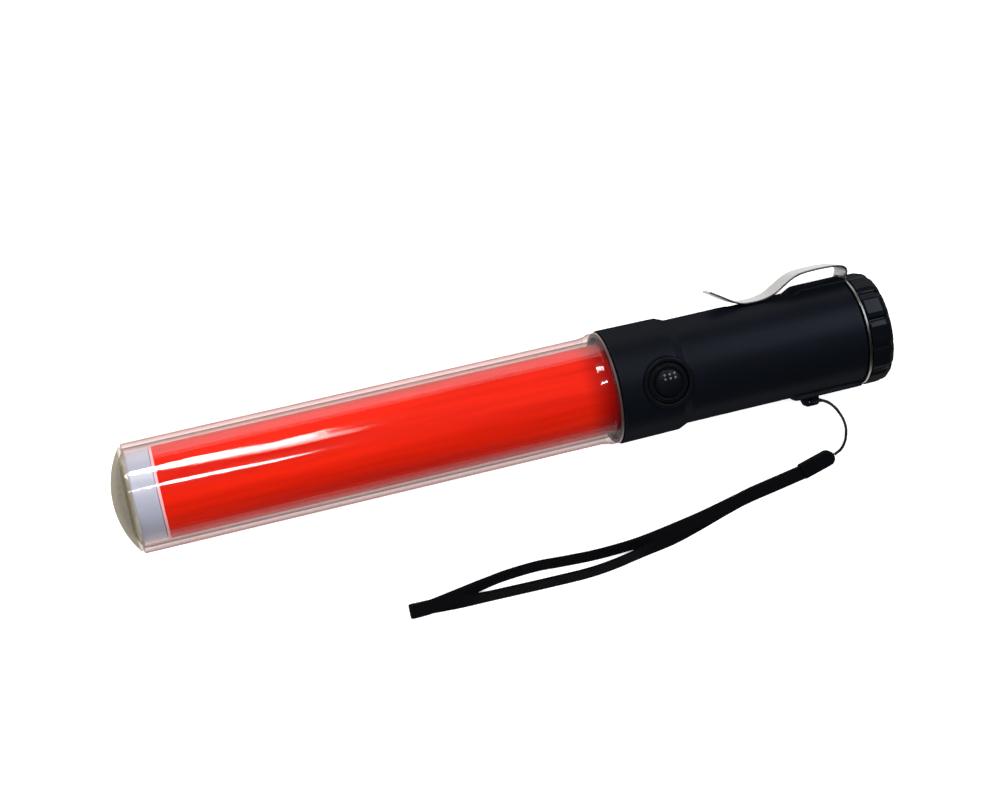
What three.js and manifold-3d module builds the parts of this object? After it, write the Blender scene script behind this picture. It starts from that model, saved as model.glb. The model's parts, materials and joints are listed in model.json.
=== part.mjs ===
// A hand-held traffic baton light, lying at rest. A clear tube holds a rolled red film with light
// emitters inside it. The black handle holds a push button, a switch and three cells in a carrier.
// A screwed tail cap clamps the ring of a steel belt clip, and a wrist strap is looped to a lug.
//
// Units are millimetres. The baton is drawn in a frame of its own: X runs along its axis from the
// front end of the tube to the tail, +Y is the clip's side and +Z is the button's side. That frame
// is then laid on the floor, z = 0. The strap is drawn on the floor directly.

import * as THREE from "three";
import { mergeVertices } from "three/addons/utils/BufferGeometryUtils.js";
import Module from "manifold-3d";

const wasm = await Module();
wasm.setup();

const GAP = 0.3; // left between two pieces that touch
const SIDES = 48; // facets of a turned outer piece
const MIDDLE_SIDES = 32; // facets of a turned piece half the size
const INNER_SIDES = 24; // facets of a turned inner piece
const SMALL_SIDES = 12; // facets of a small post or hole

// Clear tube, with a flared flange and a spigot that enters the handle.
const TUBE_R = 20;
const TUBE_BORE_R = 18.2;
const TUBE_END_BEVEL = 0.4;
const FLARE_X = 170.5;
const FLARE_R = 20.55;
const FLANGE_X = 174.2;
const FLANGE_R = 20.9;
const FLANGE_BACK_X = 176;
const GASKET_R = 21;
const SPIGOT_R = 19.2;
const SPIGOT_END_X = 185.8;

// Domed front lens.
const LENS_DOME_R = 33.1;
const LENS_APEX_X = -7;
const LENS_WALL = 1.8;
const LENS_RIM_R = 19;
const LENS_PLUG_R = 17.9;
const LENS_PLUG_BORE_R = 16.9;
const LENS_PLUG_X = 2.8;

// Reflector cup behind the lens.
const CUP_R = 16.4;
const CUP_FRONT_X = 0.6;
const CUP_BACK_X = 9.2;
const CUP_WALL = 0.9;
const CUP_MOUTH_R = 15.6;
const CUP_THROAT_R = 3.6;
const CUP_THROAT_X = 7;

// Rolled film and the emitter board inside it.
const FILM_R = 16.85;
const FILM_WALL = 0.5;
const FILM_FRONT_X = 9.7;
const FILM_BACK_X = 177;
const HOLDER_R = 15.9;
const HOLDER_X = [9.9, 12.5];
const TIP_BOARD_X = [8.3, 9.6];
const TIP_BOARD_R = 12;
const STRIP_X = [10.3, 194];
const STRIP_WIDTH = 12;
const STRIP_THICKNESS = 1.6;
const LED_R = 2.5;
const LED_BODY = 1.6;
const LED_COUNT = 6;
const LED_FIRST_X = 30;
const LED_PITCH = 26;

// Light base that closes the tube's rear end.
const BASE_X = [177.3, 185.4];
const BASE_R = 17.8;
const BASE_WALL = 1.6;
const BASE_FLOOR = 2.5;

// Handle: a wide collar, a slimmer grip, and local pads under the clip and the lug.
const COLLAR_X = 177.5;
const COLLAR_BEVEL = 0.6;
const COLLAR_FRONT_R = 21.5;
const COLLAR_BACK_X = 199;
const COLLAR_BACK_R = 21.25;
const COLLAR_EDGE = [1.2, 0.35]; // along and across
const GRIP_X = 204;
const GRIP_R = 19.7;
const GRIP_FILLET = [0.8, 0.2];
const HANDLE_END_X = 273.4;
const SOCKET_R = 19.5;
const SOCKET_END_X = 186.4;
const BORE_R = 17.1;
const THREAD_X = 264.5;
const THREAD_R = 17.4;
const BULKHEAD_X = [203.2, 205.2];
const BULKHEAD_HOLE_R = 4.2;
const PAD_R = 21.5;
const CLIP_PAD_X = 251.5;
const CLIP_PAD_RAMP = 4;
const CLIP_PAD_HALF = 7.2;
const LUG_PAD_X = 246;
const LUG_PAD_RAMP = 1.8;
const LUG_PAD_HALF = 6.5;
const LUG_PAD_R = 21.3;
const CLIP_FLAT_X = [228, 248];
const CLIP_FLAT_Y = 18.9;
const CLIP_FLAT_RAMP = 2;
const CLIP_FLAT_HALF = 9;
const LUG_X = [249.6, 257.2];
const LUG_Y = -24.5;
const LUG_SLOPE = 1.8;
const LUG_BEVEL = 0.7;
const LUG_HALF = 2;
const LUG_HOLE_X = 254.2;
const LUG_HOLE_Y = -22.45;
const LUG_HOLE_R = 1.2;

// Push button, its bezel and the switch under it.
const BUTTON_X = 195.3;
const BOSS_R = 9.7;
const BOSS_Z = 20.4;
const BOSS_BOTTOM_Z = 10;
const BOSS_EASE = 0.05;
const BUTTON_HOLE_R = 8;
const BEZEL_R = 9.4;
const BEZEL_BORE_R = 7.75;
const BEZEL_Z = 21.9;
const BEZEL_BEVEL = 0.4;
const BUTTON_R = 7.4;
const BUTTON_Z = [18.4, 21.3];
const BUTTON_DOME_R = 5.3;
const BUTTON_DOME_Z = 23.2;
const BUTTON_DOME_STEP = 0.3;
const PLUNGER_R = 1.75;
const PLUNGER_Z = [12.9, 18.1];
const SWITCH_SIZE = 8;
const SWITCH_Z = [7.9, 11.2];
const BOARD_X = [189.5, 202.4];
const BOARD_HALF = 13;
const BOARD_Z = [6, 7.6];
const LEAD_Y = 3;
const LEAD_X = [189.8, 192.5, 194, 194.6];
const LEAD_RISE = [0, 0, 0.8, 2.4];

// Cell carrier with three AA cells side by side.
const CARRIER_R = 16.6;
const CARRIER_X = [207.4, 266.6];
const CARRIER_DISC = [2.2, 1.9];
const RIB_R = [13.6, 16.2];
const RIB_WIDTH = 3;
const STUD_R = 2.8;
const STUD_X = [206.3, 267];
const PLATE_R = 12.5;
const PLATE_X = [210.4, 263.9];
const PLATE_THICKNESS = 0.5;
const CELL_R = 7;
const CELL_LENGTH = 47.8;
const CELL_NUB = 1.1;
const CELL_NUB_R = 2.7;
const CELL_ORBIT = 8.31;
const CELL_SPRING_X = [211.1, 213.9];
const CELL_SPRING_R = [4.5, 2.6];
const TERMINAL_X = [201.5, 205.5];
const TERMINAL_R = [2.4, 6];
const CELL_SIDES = 16;

// Tail: clip ring, cap, seal, contact and spring.
const RING_X = [273.7, 274.6];
const RING_R = 20.6;
const RING_BORE_R = 17.6;
const RING_TAB_Y = 21.2;
const CAP_X = 274.9;
const CAP_BACK_X = 284;
const CAP_R = 21.1;
const CAP_FILLET_X = 280;
const CAP_FACE_R = 18.2;
const CAP_LOBES = 12;
const LOBE_FLAT = THREE.MathUtils.degToRad(7);
const LOBE_EDGE = THREE.MathUtils.degToRad(12.6);
const LOBE_EDGE_R = 20.7;
const GROOVE_R = 20;
const SKIRT_X = 267.2;
const SKIRT_R = 17;
const SKIRT_BORE_R = 14.7;
const CAP_FLOOR_X = 278;
const SKIRT_SIDES = 36;
const SEAL_GROOVE_X = [270.9, 273.1];
const SEAL_GROOVE_R = 15.9;
const SEAL_R = 17.1;
const TAIL_CONTACT_R = 10;
const TAIL_SPRING_X = [267.9, 276.2];
const TAIL_SPRING_R = [5, 9];
const WIRE_R = 0.5;
const CELL_WIRE_R = 0.3;

// Belt clip: a strip whose centre line runs from the ring, over the arch, to the turned-up tail.
const CLIP_WIDTH = 12;
const CLIP_THICKNESS = 0.8;
const CLIP_LINE = [
  [274.15, 21.5],
  [274.9, 22.5],
  [275.2, 23.6],
  [274.6, 25],
  [272.3, 25.95],
  [268, 26.4],
  [262.5, 26.5],
  [257.5, 26.2],
  [253.6, 25.1],
  [249.6, 23],
  [245.4, 20.8],
  [241, 19.75],
  [236.5, 19.65],
  [233, 20.05],
  [229.5, 21.6],
  [225.6, 24.1],
  [221.8, 26.6],
];

// Wrist strap, on the floor: a thin cord, a sleeve and a loop of flat webbing.
const CORD_R = 0.55;
const CORD_LINE = [
  [127.9, -50.4, 3.1],
  [130.6, -49.1, 3.1],
  [132.4, -46.6, 3.6],
  [132.8, -43, 5.8],
  [131.5, -38.4, 10.2],
  [128.2, -32.6, 15.6],
  [124, -27.6, 20.2],
  [120.4, -24.9, 23],
  [117.7, -24.1, 24.4],
  [115.8, -23.8, 24.1],
  [115.15, -23.7, 22.6],
  [115.15, -23.7, 20.6],
  [115.15, -23.7, 18.6],
  [115.9, -23.8, 17.1],
  [118.6, -24.4, 16.7],
  [122.4, -26.1, 16.9],
  [125.4, -28.4, 16.4],
  [129.1, -33.1, 13.2],
  [132.2, -38.8, 8.2],
  [133.4, -43.4, 4],
  [133, -46.9, 2],
  [131.1, -49.4, 1.6],
  [128.1, -50.9, 1.6],
];
const SLEEVE_CENTRE = [120.3, -52.6];
const SLEEVE_TURN = THREE.MathUtils.degToRad(15);
const SLEEVE_LENGTH = 14.5;
const SLEEVE_WIDTH = 6;
const SLEEVE_Z = [0.3, 4.1];
const WEB_WIDTH = 5.5;
const WEB_THICKNESS = 1.1;
const WEB_STEPS = 30;
const FOLD_EASE = 0.4;
const WEB_LOW_Z = 0.95;
const WEB_HIGH_Z = 2.75;
const WEB_FAR = [
  [112.6, -54.8, 2.75],
  [101.6, -56.6, 2.75],
  [90.8, -58.4, 2.75],
  [80, -60.7, 2.75],
  [69.3, -62.9, 2.7],
  [58.7, -64.6, 2.4],
  [48.2, -65.8, 1.9],
  [37.9, -66.5, 1.2],
  [25.6, -66.8, 0.95],
  [12.7, -66.2, 0.95],
  [3, -65.6, 0.95],
  [-9.2, -66.1, 0.95],
  [-19.3, -67.3, 1.4],
  [-29.6, -69.2, 2.3],
  [-39.9, -70.8, 2.75],
  [-47.2, -71.1, 2.75],
];
const WEB_NEAR = [
  [112.6, -55.1, 0.95],
  [101.5, -56.9, 0.95],
  [90.8, -58.8, 0.95],
  [79.9, -61.7, 0.95],
  [68.8, -65, 0.95],
  [58.1, -67.8, 0.95],
  [47.5, -69.6, 0.95],
  [40.1, -71, 0.95],
  [31.7, -72.3, 0.95],
  [21.4, -73.1, 0.95],
  [6.3, -73, 0.95],
  [-8.5, -72.7, 0.95],
  [-20.4, -72.4, 0.95],
  [-30.3, -71.9, 0.95],
  [-40, -71.3, 0.95],
  [-47.2, -71.1, 0.95],
];

// Where the resting baton touches the floor: a facet of the collar and the flat of a cap lobe.
const COLLAR_REST = COLLAR_FRONT_R * Math.cos(Math.PI / SIDES);
const CAP_REST = CAP_R * Math.cos(LOBE_FLAT);
const COLLAR_REST_X = COLLAR_X + COLLAR_BEVEL;
const TILT = Math.atan((COLLAR_REST - CAP_REST) / (CAP_FILLET_X - COLLAR_REST_X));
const AXIS_HEIGHT = COLLAR_REST * Math.cos(TILT) + COLLAR_REST_X * Math.sin(TILT);

const clearPlastic = () =>
  new THREE.MeshStandardMaterial({
    color: 0xe9eeee,
    roughness: 0.08,
    metalness: 0,
    transparent: true,
    opacity: 0.3,
  });
const plain = (color, roughness, metalness = 0) =>
  new THREE.MeshStandardMaterial({ color, roughness, metalness });

// Joining and cutting.

function solidOf(geometry) {
  const bare = geometry.clone();
  bare.deleteAttribute("normal");
  bare.deleteAttribute("uv");
  const merged = mergeVertices(bare, 1e-3);
  return new wasm.Manifold(
    new wasm.Mesh({
      numProp: 3,
      vertProperties: merged.attributes.position.array,
      triVerts: new Uint32Array(merged.index.array),
    }),
  );
}

function geometryOf(solid) {
  const mesh = solid.getMesh();
  const geometry = new THREE.BufferGeometry();
  geometry.setAttribute("position", new THREE.BufferAttribute(mesh.vertProperties, 3));
  geometry.setIndex(new THREE.BufferAttribute(mesh.triVerts, 1));
  geometry.computeVertexNormals();
  return geometry;
}

function shaped(base, { joined = [], kept = [], cut = [] }) {
  let solid = solidOf(base);
  for (const piece of joined) solid = solid.add(solidOf(piece));
  for (const piece of kept) solid = solid.intersect(solidOf(piece));
  for (const piece of cut) solid = solid.subtract(solidOf(piece));
  return geometryOf(solid);
}

// Basic forms, each placed in the baton's frame.

// Turns a closed outline of [height, radius] points about Y, with its faces outward.
function lathe(outline, sides) {
  const area = outline.reduce((sum, [h, r], i) => {
    const [nextH, nextR] = outline[(i + 1) % outline.length];
    return sum + r * nextH - nextR * h;
  }, 0);
  const points = outline.map(([h, r]) => new THREE.Vector2(r, h));
  if (outline[0][1] > 0) points.push(points[0].clone());
  if (area < 0) points.reverse();
  return new THREE.LatheGeometry(points, sides, Math.PI / sides);
}

const turnedX = (outline, sides = SIDES) => lathe(outline, sides).rotateZ(-Math.PI / 2);
const turnedZ = (outline, sides, x, y = 0) =>
  lathe(outline, sides).rotateX(Math.PI / 2).translate(x, y, 0);

const block = ([x0, x1], [y0, y1], [z0, z1]) =>
  new THREE.BoxGeometry(x1 - x0, y1 - y0, z1 - z0).translate(
    (x0 + x1) / 2,
    (y0 + y1) / 2,
    (z0 + z1) / 2,
  );

const postZ = (x, y, r, z0, z1, sides = INNER_SIDES) =>
  turnedZ([[z0, 0], [z0, r], [z1, r], [z1, 0]], sides, x, y);

// An outline in X and Y, as thick along Z as twice its half.
function plateXY(outline, half) {
  const shape = new THREE.Shape(outline.map(([x, y]) => new THREE.Vector2(x, y)));
  const options = { depth: 2 * half, bevelEnabled: false };
  return new THREE.ExtrudeGeometry(shape, options).translate(0, 0, -half);
}

const curveOf = (points) =>
  new THREE.CatmullRomCurve3(points.map((p) => new THREE.Vector3(...p)), false, "centripetal");

function wire(curve, r, sides, steps) {
  const shape = new THREE.Shape();
  for (let i = 0; i < sides; i++) {
    const turn = (2 * Math.PI * i) / sides;
    const corner = [r * Math.cos(turn), r * Math.sin(turn)];
    if (i === 0) shape.moveTo(...corner);
    else shape.lineTo(...corner);
  }
  return new THREE.ExtrudeGeometry(shape, { steps, extrudePath: curve });
}

// A flat band swept along a level curve: `tall` is its size along Z and `wide` is across the curve.
function band(points, tall, wide, steps) {
  const shape = new THREE.Shape();
  shape.moveTo(-tall / 2, -wide / 2);
  shape.lineTo(tall / 2, -wide / 2);
  shape.lineTo(tall / 2, wide / 2);
  shape.lineTo(-tall / 2, wide / 2);
  return new THREE.ExtrudeGeometry(shape, { steps, extrudePath: curveOf(points) });
}

// A coil of wire about X, from one radius to another.
class Coil extends THREE.Curve {
  constructor([x0, x1], [r0, r1], turns) {
    super();
    Object.assign(this, { x0, x1, r0, r1, turns });
  }

  getPoint(t, target = new THREE.Vector3()) {
    const turn = 2 * Math.PI * this.turns * t;
    const r = this.r0 + (this.r1 - this.r0) * t;
    return target.set(this.x0 + (this.x1 - this.x0) * t, r * Math.cos(turn), r * Math.sin(turn));
  }
}

const arc = (count, point) => Array.from({ length: count + 1 }, (_, i) => point(i / count));

// Tube end.

function outerTube() {
  return turnedX([
    [0, TUBE_BORE_R],
    [0, TUBE_R - TUBE_END_BEVEL],
    [TUBE_END_BEVEL, TUBE_R],
    [FLARE_X, TUBE_R],
    [FLANGE_X, FLARE_R],
    [FLANGE_X, FLANGE_R],
    [FLANGE_BACK_X, FLANGE_R],
    [FLANGE_BACK_X, SPIGOT_R],
    [SPIGOT_END_X, SPIGOT_R],
    [SPIGOT_END_X, TUBE_BORE_R],
  ]);
}

function frontLens() {
  const centre = LENS_APEX_X + LENS_DOME_R;
  const dome = (radius, edge) => (t) => {
    const r = edge * t;
    return [centre - Math.sqrt(radius ** 2 - r ** 2), r];
  };
  const outside = arc(4, dome(LENS_DOME_R, LENS_RIM_R));
  const inside = arc(3, dome(LENS_DOME_R - LENS_WALL, LENS_PLUG_BORE_R)).reverse();
  return turnedX([
    ...outside,
    [-GAP, LENS_RIM_R],
    [-GAP, LENS_PLUG_R],
    [LENS_PLUG_X, LENS_PLUG_R],
    [LENS_PLUG_X, LENS_PLUG_BORE_R],
    ...inside,
  ]);
}

function reflectorCup() {
  const mouthX = CUP_FRONT_X + GAP;
  const depth = (CUP_THROAT_X - mouthX) / (CUP_MOUTH_R ** 2 - CUP_THROAT_R ** 2);
  const bowl = (from, to, shift) => (t) => {
    const r = from + (to - from) * t;
    return [CUP_THROAT_X + shift - depth * (r ** 2 - CUP_THROAT_R ** 2), r];
  };
  return turnedX([
    [CUP_FRONT_X, CUP_R],
    [CUP_BACK_X, CUP_R],
    [CUP_BACK_X, CUP_R - CUP_WALL],
    ...arc(3, bowl(CUP_R - CUP_WALL - GAP, CUP_THROAT_R, CUP_WALL)),
    ...arc(3, bowl(CUP_THROAT_R, CUP_MOUTH_R, 0)),
  ]);
}

const disc = ([x0, x1], r, sides = INNER_SIDES) =>
  turnedX([[x0, 0], [x0, r], [x1, r], [x1, 0]], sides);

const ring = ([x0, x1], r, bore, sides = SIDES) =>
  turnedX([[x0, bore], [x0, r], [x1, r], [x1, bore]], sides);

// A slot that lets the emitter board through a wall.
function stripSlot(x) {
  const halfWidth = STRIP_WIDTH / 2 + GAP;
  const halfThickness = STRIP_THICKNESS / 2 + GAP;
  return block(x, [-halfWidth, halfWidth], [-halfThickness, halfThickness]);
}

const lampHolder = () => shaped(disc(HOLDER_X, HOLDER_R), { cut: [stripSlot([9, 14])] });

function lightBase() {
  const [front, back] = BASE_X;
  const cup = turnedX([
    [front, 0],
    [front, BASE_R],
    [back, BASE_R],
    [back, BASE_R - BASE_WALL],
    [front + BASE_FLOOR, BASE_R - BASE_WALL],
    [front + BASE_FLOOR, 0],
  ]);
  return shaped(cup, { cut: [stripSlot([front - 1, back])] });
}

function ledStripBoard() {
  const halfWidth = STRIP_WIDTH / 2;
  const halfThickness = STRIP_THICKNESS / 2;
  return block(STRIP_X, [-halfWidth, halfWidth], [-halfThickness, halfThickness]);
}

// Outline of an emitter, from its flat base to the top of its dome.
const ledOutline = () => [
  [0, 0],
  [0, LED_R],
  [LED_BODY, LED_R],
  ...arc(3, (t) => [
    LED_BODY + LED_R * Math.sin((t * Math.PI) / 2),
    LED_R * Math.cos((t * Math.PI) / 2),
  ]).slice(1),
];

const tipLed = () =>
  turnedX(ledOutline(), SMALL_SIDES)
    .rotateZ(Math.PI)
    .translate(TIP_BOARD_X[0] - GAP, 0, 0);

function stripLed(index) {
  const led = turnedZ(ledOutline(), SMALL_SIDES, 0);
  if (index % 2 === 1) led.rotateX(Math.PI);
  const side = index % 2 === 1 ? -1 : 1;
  return led.translate(LED_FIRST_X + LED_PITCH * index, 0, side * (STRIP_THICKNESS / 2 + GAP));
}

// Handle.

const boss = (r, bottom, top) => postZ(BUTTON_X, 0, r, bottom, top, MIDDLE_SIDES);

function handleBody() {
  const outside = turnedX([
    [COLLAR_X, 0],
    [COLLAR_X, COLLAR_FRONT_R - COLLAR_BEVEL],
    [COLLAR_X + COLLAR_BEVEL, COLLAR_FRONT_R],
    [COLLAR_BACK_X, COLLAR_BACK_R],
    [COLLAR_BACK_X + COLLAR_EDGE[0], COLLAR_BACK_R - COLLAR_EDGE[1]],
    [GRIP_X - GRIP_FILLET[0], GRIP_R + GRIP_FILLET[1]],
    [GRIP_X, GRIP_R],
    [HANDLE_END_X, GRIP_R],
    [HANDLE_END_X, 0],
  ]);
  const inside = turnedX([
    [COLLAR_X - 1, 0],
    [COLLAR_X - 1, SOCKET_R],
    [SOCKET_END_X, SOCKET_R],
    [SOCKET_END_X, BORE_R],
    [BULKHEAD_X[0], BORE_R],
    [BULKHEAD_X[0], BULKHEAD_HOLE_R],
    [BULKHEAD_X[1], BULKHEAD_HOLE_R],
    [BULKHEAD_X[1], BORE_R],
    [THREAD_X, BORE_R],
    [THREAD_X, THREAD_R],
    [HANDLE_END_X + 1, THREAD_R],
    [HANDLE_END_X + 1, 0],
  ]);
  return shaped(outside, {
    joined: [clipPad(), lugPad(), lug(), boss(BOSS_R, BOSS_BOTTOM_Z, BOSS_Z)],
    cut: [
      inside,
      boss(BUTTON_HOLE_R, BOSS_BOTTOM_Z, BOSS_Z + 1),
      boss(BOSS_R + BOSS_EASE, BOSS_Z, BEZEL_Z),
      postZ(LUG_HOLE_X, LUG_HOLE_Y, LUG_HOLE_R, -LUG_HALF - 1, LUG_HALF + 1, SMALL_SIDES),
      clipFlat(),
    ],
  });
}

function clipPad() {
  const wedge = plateXY(
    [
      [CLIP_PAD_X, CLIP_FLAT_Y - 1],
      [HANDLE_END_X, CLIP_FLAT_Y - 1],
      [HANDLE_END_X, PAD_R + 1],
      [CLIP_PAD_X + CLIP_PAD_RAMP, PAD_R],
      [CLIP_PAD_X, GRIP_R - GAP],
    ],
    CLIP_PAD_HALF,
  );
  return shaped(wedge, { kept: [disc([CLIP_PAD_X - 1, HANDLE_END_X], PAD_R, SIDES)] });
}

function lugPad() {
  const wedge = plateXY(
    [
      [LUG_PAD_X, 1 - CLIP_FLAT_Y],
      [LUG_PAD_X, GAP - GRIP_R],
      [LUG_PAD_X + LUG_PAD_RAMP, -LUG_PAD_R],
      [HANDLE_END_X, -LUG_PAD_R - 1],
      [HANDLE_END_X, 1 - CLIP_FLAT_Y],
    ],
    LUG_PAD_HALF,
  );
  return shaped(wedge, { kept: [disc([LUG_PAD_X - 1, HANDLE_END_X], LUG_PAD_R, SIDES)] });
}

function lug() {
  const [front, back] = LUG_X;
  return plateXY(
    [
      [front, -GRIP_R],
      [front + LUG_SLOPE, LUG_Y + LUG_BEVEL],
      [front + LUG_SLOPE + LUG_BEVEL, LUG_Y],
      [back - LUG_BEVEL, LUG_Y],
      [back, LUG_Y + LUG_BEVEL],
      [back, -GRIP_R],
    ],
    LUG_HALF,
  );
}

// The shallow flat in the grip on which the clip's bend rests.
function clipFlat() {
  const [front, back] = CLIP_FLAT_X;
  const top = GRIP_R + 1;
  return plateXY(
    [
      [front, top],
      [front + CLIP_FLAT_RAMP, CLIP_FLAT_Y],
      [back - CLIP_FLAT_RAMP, CLIP_FLAT_Y],
      [back, top],
    ],
    CLIP_FLAT_HALF,
  );
}

// Button and switch.

function buttonBezel() {
  const bottom = BOSS_Z + GAP;
  return turnedZ(
    [
      [bottom, BEZEL_BORE_R],
      [bottom, BEZEL_R],
      [BEZEL_Z - BEZEL_BEVEL, BEZEL_R],
      [BEZEL_Z, BEZEL_R - BEZEL_BEVEL],
      [BEZEL_Z, BEZEL_BORE_R],
    ],
    MIDDLE_SIDES,
    BUTTON_X,
  );
}

function pushButton() {
  const [bottom, top] = BUTTON_Z;
  const edge = top + BUTTON_DOME_STEP;
  const dome = arc(4, (t) => [
    edge + (BUTTON_DOME_Z - edge) * Math.sin((t * Math.PI) / 2),
    BUTTON_DOME_R * Math.cos((t * Math.PI) / 2),
  ]);
  return turnedZ(
    [[bottom, 0], [bottom, BUTTON_R], [top, BUTTON_R], [top, BUTTON_DOME_R], ...dome],
    INNER_SIDES,
    BUTTON_X,
  );
}

const switchPlunger = () => postZ(BUTTON_X, 0, PLUNGER_R, ...PLUNGER_Z, SMALL_SIDES);

function switchHousing() {
  const half = SWITCH_SIZE / 2;
  return block([BUTTON_X - half, BUTTON_X + half], [-half, half], SWITCH_Z);
}

const switchBoard = () => block(BOARD_X, [-BOARD_HALF, BOARD_HALF], BOARD_Z);

function lead(side) {
  const lift = STRIP_THICKNESS / 2 + GAP + WIRE_R;
  const y = side * LEAD_Y;
  const points = LEAD_X.map((x, i) => [x, y, lift + LEAD_RISE[i]]);
  points.push([LEAD_X.at(-1), y, BOARD_Z[0] - GAP]);
  return wire(curveOf(points), WIRE_R, 6, 8);
}

function frontTerminal() {
  const [stem, head] = TERMINAL_X;
  const [stemR, headR] = TERMINAL_R;
  const back = head + PLATE_THICKNESS;
  return turnedX(
    [[stem, 0], [stem, stemR], [head, stemR], [head, headR], [back, headR], [back, 0]],
    INNER_SIDES,
  );
}

// Cell carrier. Cell 0 is on the clip's side; the others follow a third of a turn apart.

const thirdOfTurn = (index) => (2 * Math.PI * index) / 3;

function batteryCarrier() {
  const [front, back] = CARRIER_X;
  const [frontDisc, backDisc] = CARRIER_DISC;
  const ribs = [0, 1, 2].map((i) =>
    block([front + 1, back - 1], RIB_R, [-RIB_WIDTH / 2, RIB_WIDTH / 2]).rotateX(
      thirdOfTurn(i + 0.5),
    ),
  );
  return shaped(disc([front, front + frontDisc], CARRIER_R), {
    joined: [disc([back - backDisc, back], CARRIER_R), ...ribs],
    cut: [disc([front - 1, back + 1], STUD_R + GAP)],
  });
}

function carrierContact(studX, plateX, thickness) {
  return turnedX(
    [
      [studX, 0],
      [studX, STUD_R],
      [plateX - thickness, STUD_R],
      [plateX - thickness, PLATE_R],
      [plateX, PLATE_R],
      [plateX, 0],
    ],
    INNER_SIDES,
  );
}

// Puts a piece drawn for a cell on the axis into place; the middle cell faces the other way.
function inCellPlace(geometry, index) {
  const middle = (PLATE_X[0] + PLATE_X[1]) / 2;
  if (index === 1) {
    geometry
      .translate(-middle, 0, 0)
      .rotateY(Math.PI)
      .translate(middle, 0, 0);
  }
  return geometry.translate(0, CELL_ORBIT, 0).rotateX(thirdOfTurn(index));
}

function cell(index) {
  const front = CELL_SPRING_X[1] + WIRE_R + GAP;
  const back = front + CELL_LENGTH;
  const body = turnedX(
    [
      [front, 0],
      [front, CELL_R],
      [back, CELL_R],
      [back, CELL_NUB_R],
      [back + CELL_NUB, CELL_NUB_R],
      [back + CELL_NUB, 0],
    ],
    CELL_SIDES,
  );
  return inCellPlace(body, index);
}

const cellSpring = (index) =>
  inCellPlace(wire(new Coil(CELL_SPRING_X, CELL_SPRING_R, 2.5), CELL_WIRE_R, 5, 24), index);

// Tail.

function clipRing() {
  const tab = block(RING_X, [RING_BORE_R + 1, RING_TAB_Y], [-CLIP_WIDTH / 2, CLIP_WIDTH / 2]);
  return shaped(ring(RING_X, RING_R, RING_BORE_R), { joined: [tab] });
}

const clipSpring = () =>
  band(CLIP_LINE.map(([x, y]) => [x, y, 0]), CLIP_WIDTH, CLIP_THICKNESS, 40);

// The lobed grip of the cap, cut to the cap's rounded profile.
function tailCap() {
  const lobes = new THREE.Shape();
  for (let i = 0; i < CAP_LOBES; i++) {
    const middle = (2 * Math.PI * i) / CAP_LOBES;
    const corners = [
      [-LOBE_EDGE, LOBE_EDGE_R],
      [-LOBE_FLAT, CAP_R],
      [LOBE_FLAT, CAP_R],
      [LOBE_EDGE, LOBE_EDGE_R],
      [Math.PI / CAP_LOBES, GROOVE_R],
    ];
    corners.forEach(([turn, r], j) => {
      const at = [r * Math.cos(middle + turn), r * Math.sin(middle + turn)];
      if (i === 0 && j === 0) lobes.moveTo(...at);
      else lobes.lineTo(...at);
    });
  }
  const grip = new THREE.ExtrudeGeometry(lobes, { depth: CAP_BACK_X - CAP_X, bevelEnabled: false })
    .rotateY(Math.PI / 2)
    .translate(CAP_X, 0, 0);
  const fillet = arc(3, (t) => [
    CAP_FILLET_X + (CAP_BACK_X - CAP_FILLET_X) * Math.sin((t * Math.PI) / 2),
    CAP_FACE_R + (CAP_R - CAP_FACE_R) * Math.cos((t * Math.PI) / 2),
  ]);
  const profile = turnedX([
    [CAP_X - 1, 0],
    [CAP_X - 1, CAP_R + 1],
    [CAP_FILLET_X, CAP_R + 1],
    ...fillet,
    [CAP_BACK_X, 0],
  ]);
  const head = shaped(grip, { kept: [profile] });
  return shaped(head, {
    joined: [disc([SKIRT_X, CAP_X + 1], SKIRT_R, SKIRT_SIDES)],
    cut: [
      disc([SKIRT_X - 1, CAP_FLOOR_X], SKIRT_BORE_R, SKIRT_SIDES),
      ring(SEAL_GROOVE_X, SKIRT_R + 1, SEAL_GROOVE_R, SKIRT_SIDES),
    ],
  });
}

function capSeal() {
  const [front, back] = SEAL_GROOVE_X;
  return ring([front + GAP, back - GAP], SEAL_R, SEAL_GROOVE_R + GAP, SKIRT_SIDES);
}

const tailContact = () =>
  disc([CAP_FLOOR_X - GAP - PLATE_THICKNESS, CAP_FLOOR_X - GAP], TAIL_CONTACT_R);

const tailSpring = () => wire(new Coil(TAIL_SPRING_X, TAIL_SPRING_R, 4), WIRE_R, 6, 44);

// Strap, on the floor.

const strapCord = () => wire(curveOf(CORD_LINE), CORD_R, 8, 56);

function strapSleeve() {
  const half = SLEEVE_LENGTH / 2;
  const wide = SLEEVE_WIDTH / 2;
  const [low, high] = SLEEVE_Z;
  const nose = arc(6, (t) => {
    const turn = -Math.PI / 2 + t * Math.PI;
    return [half - wide + wide * Math.cos(turn), wide * Math.sin(turn)];
  });
  return plateXY([[-half, -wide], ...nose, [-half, wide]], (high - low) / 2)
    .rotateZ(SLEEVE_TURN)
    .translate(...SLEEVE_CENTRE, (low + high) / 2);
}

// Two strands of webbing and the flat fold that joins them at the far end.
function strapWebbing() {
  const [foldX, foldY] = WEB_NEAR.at(-1);
  const half = WEB_THICKNESS / 2;
  const fold = block(
    [foldX - WEB_THICKNESS, foldX + FOLD_EASE],
    [foldY - WEB_WIDTH / 2, foldY + WEB_WIDTH / 2],
    [WEB_LOW_Z - half, WEB_HIGH_Z + half],
  );
  return shaped(band(WEB_NEAR, WEB_THICKNESS, WEB_WIDTH, WEB_STEPS), {
    joined: [band(WEB_FAR, WEB_THICKNESS, WEB_WIDTH, WEB_STEPS), fold],
  });
}

// Assembly.

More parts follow.
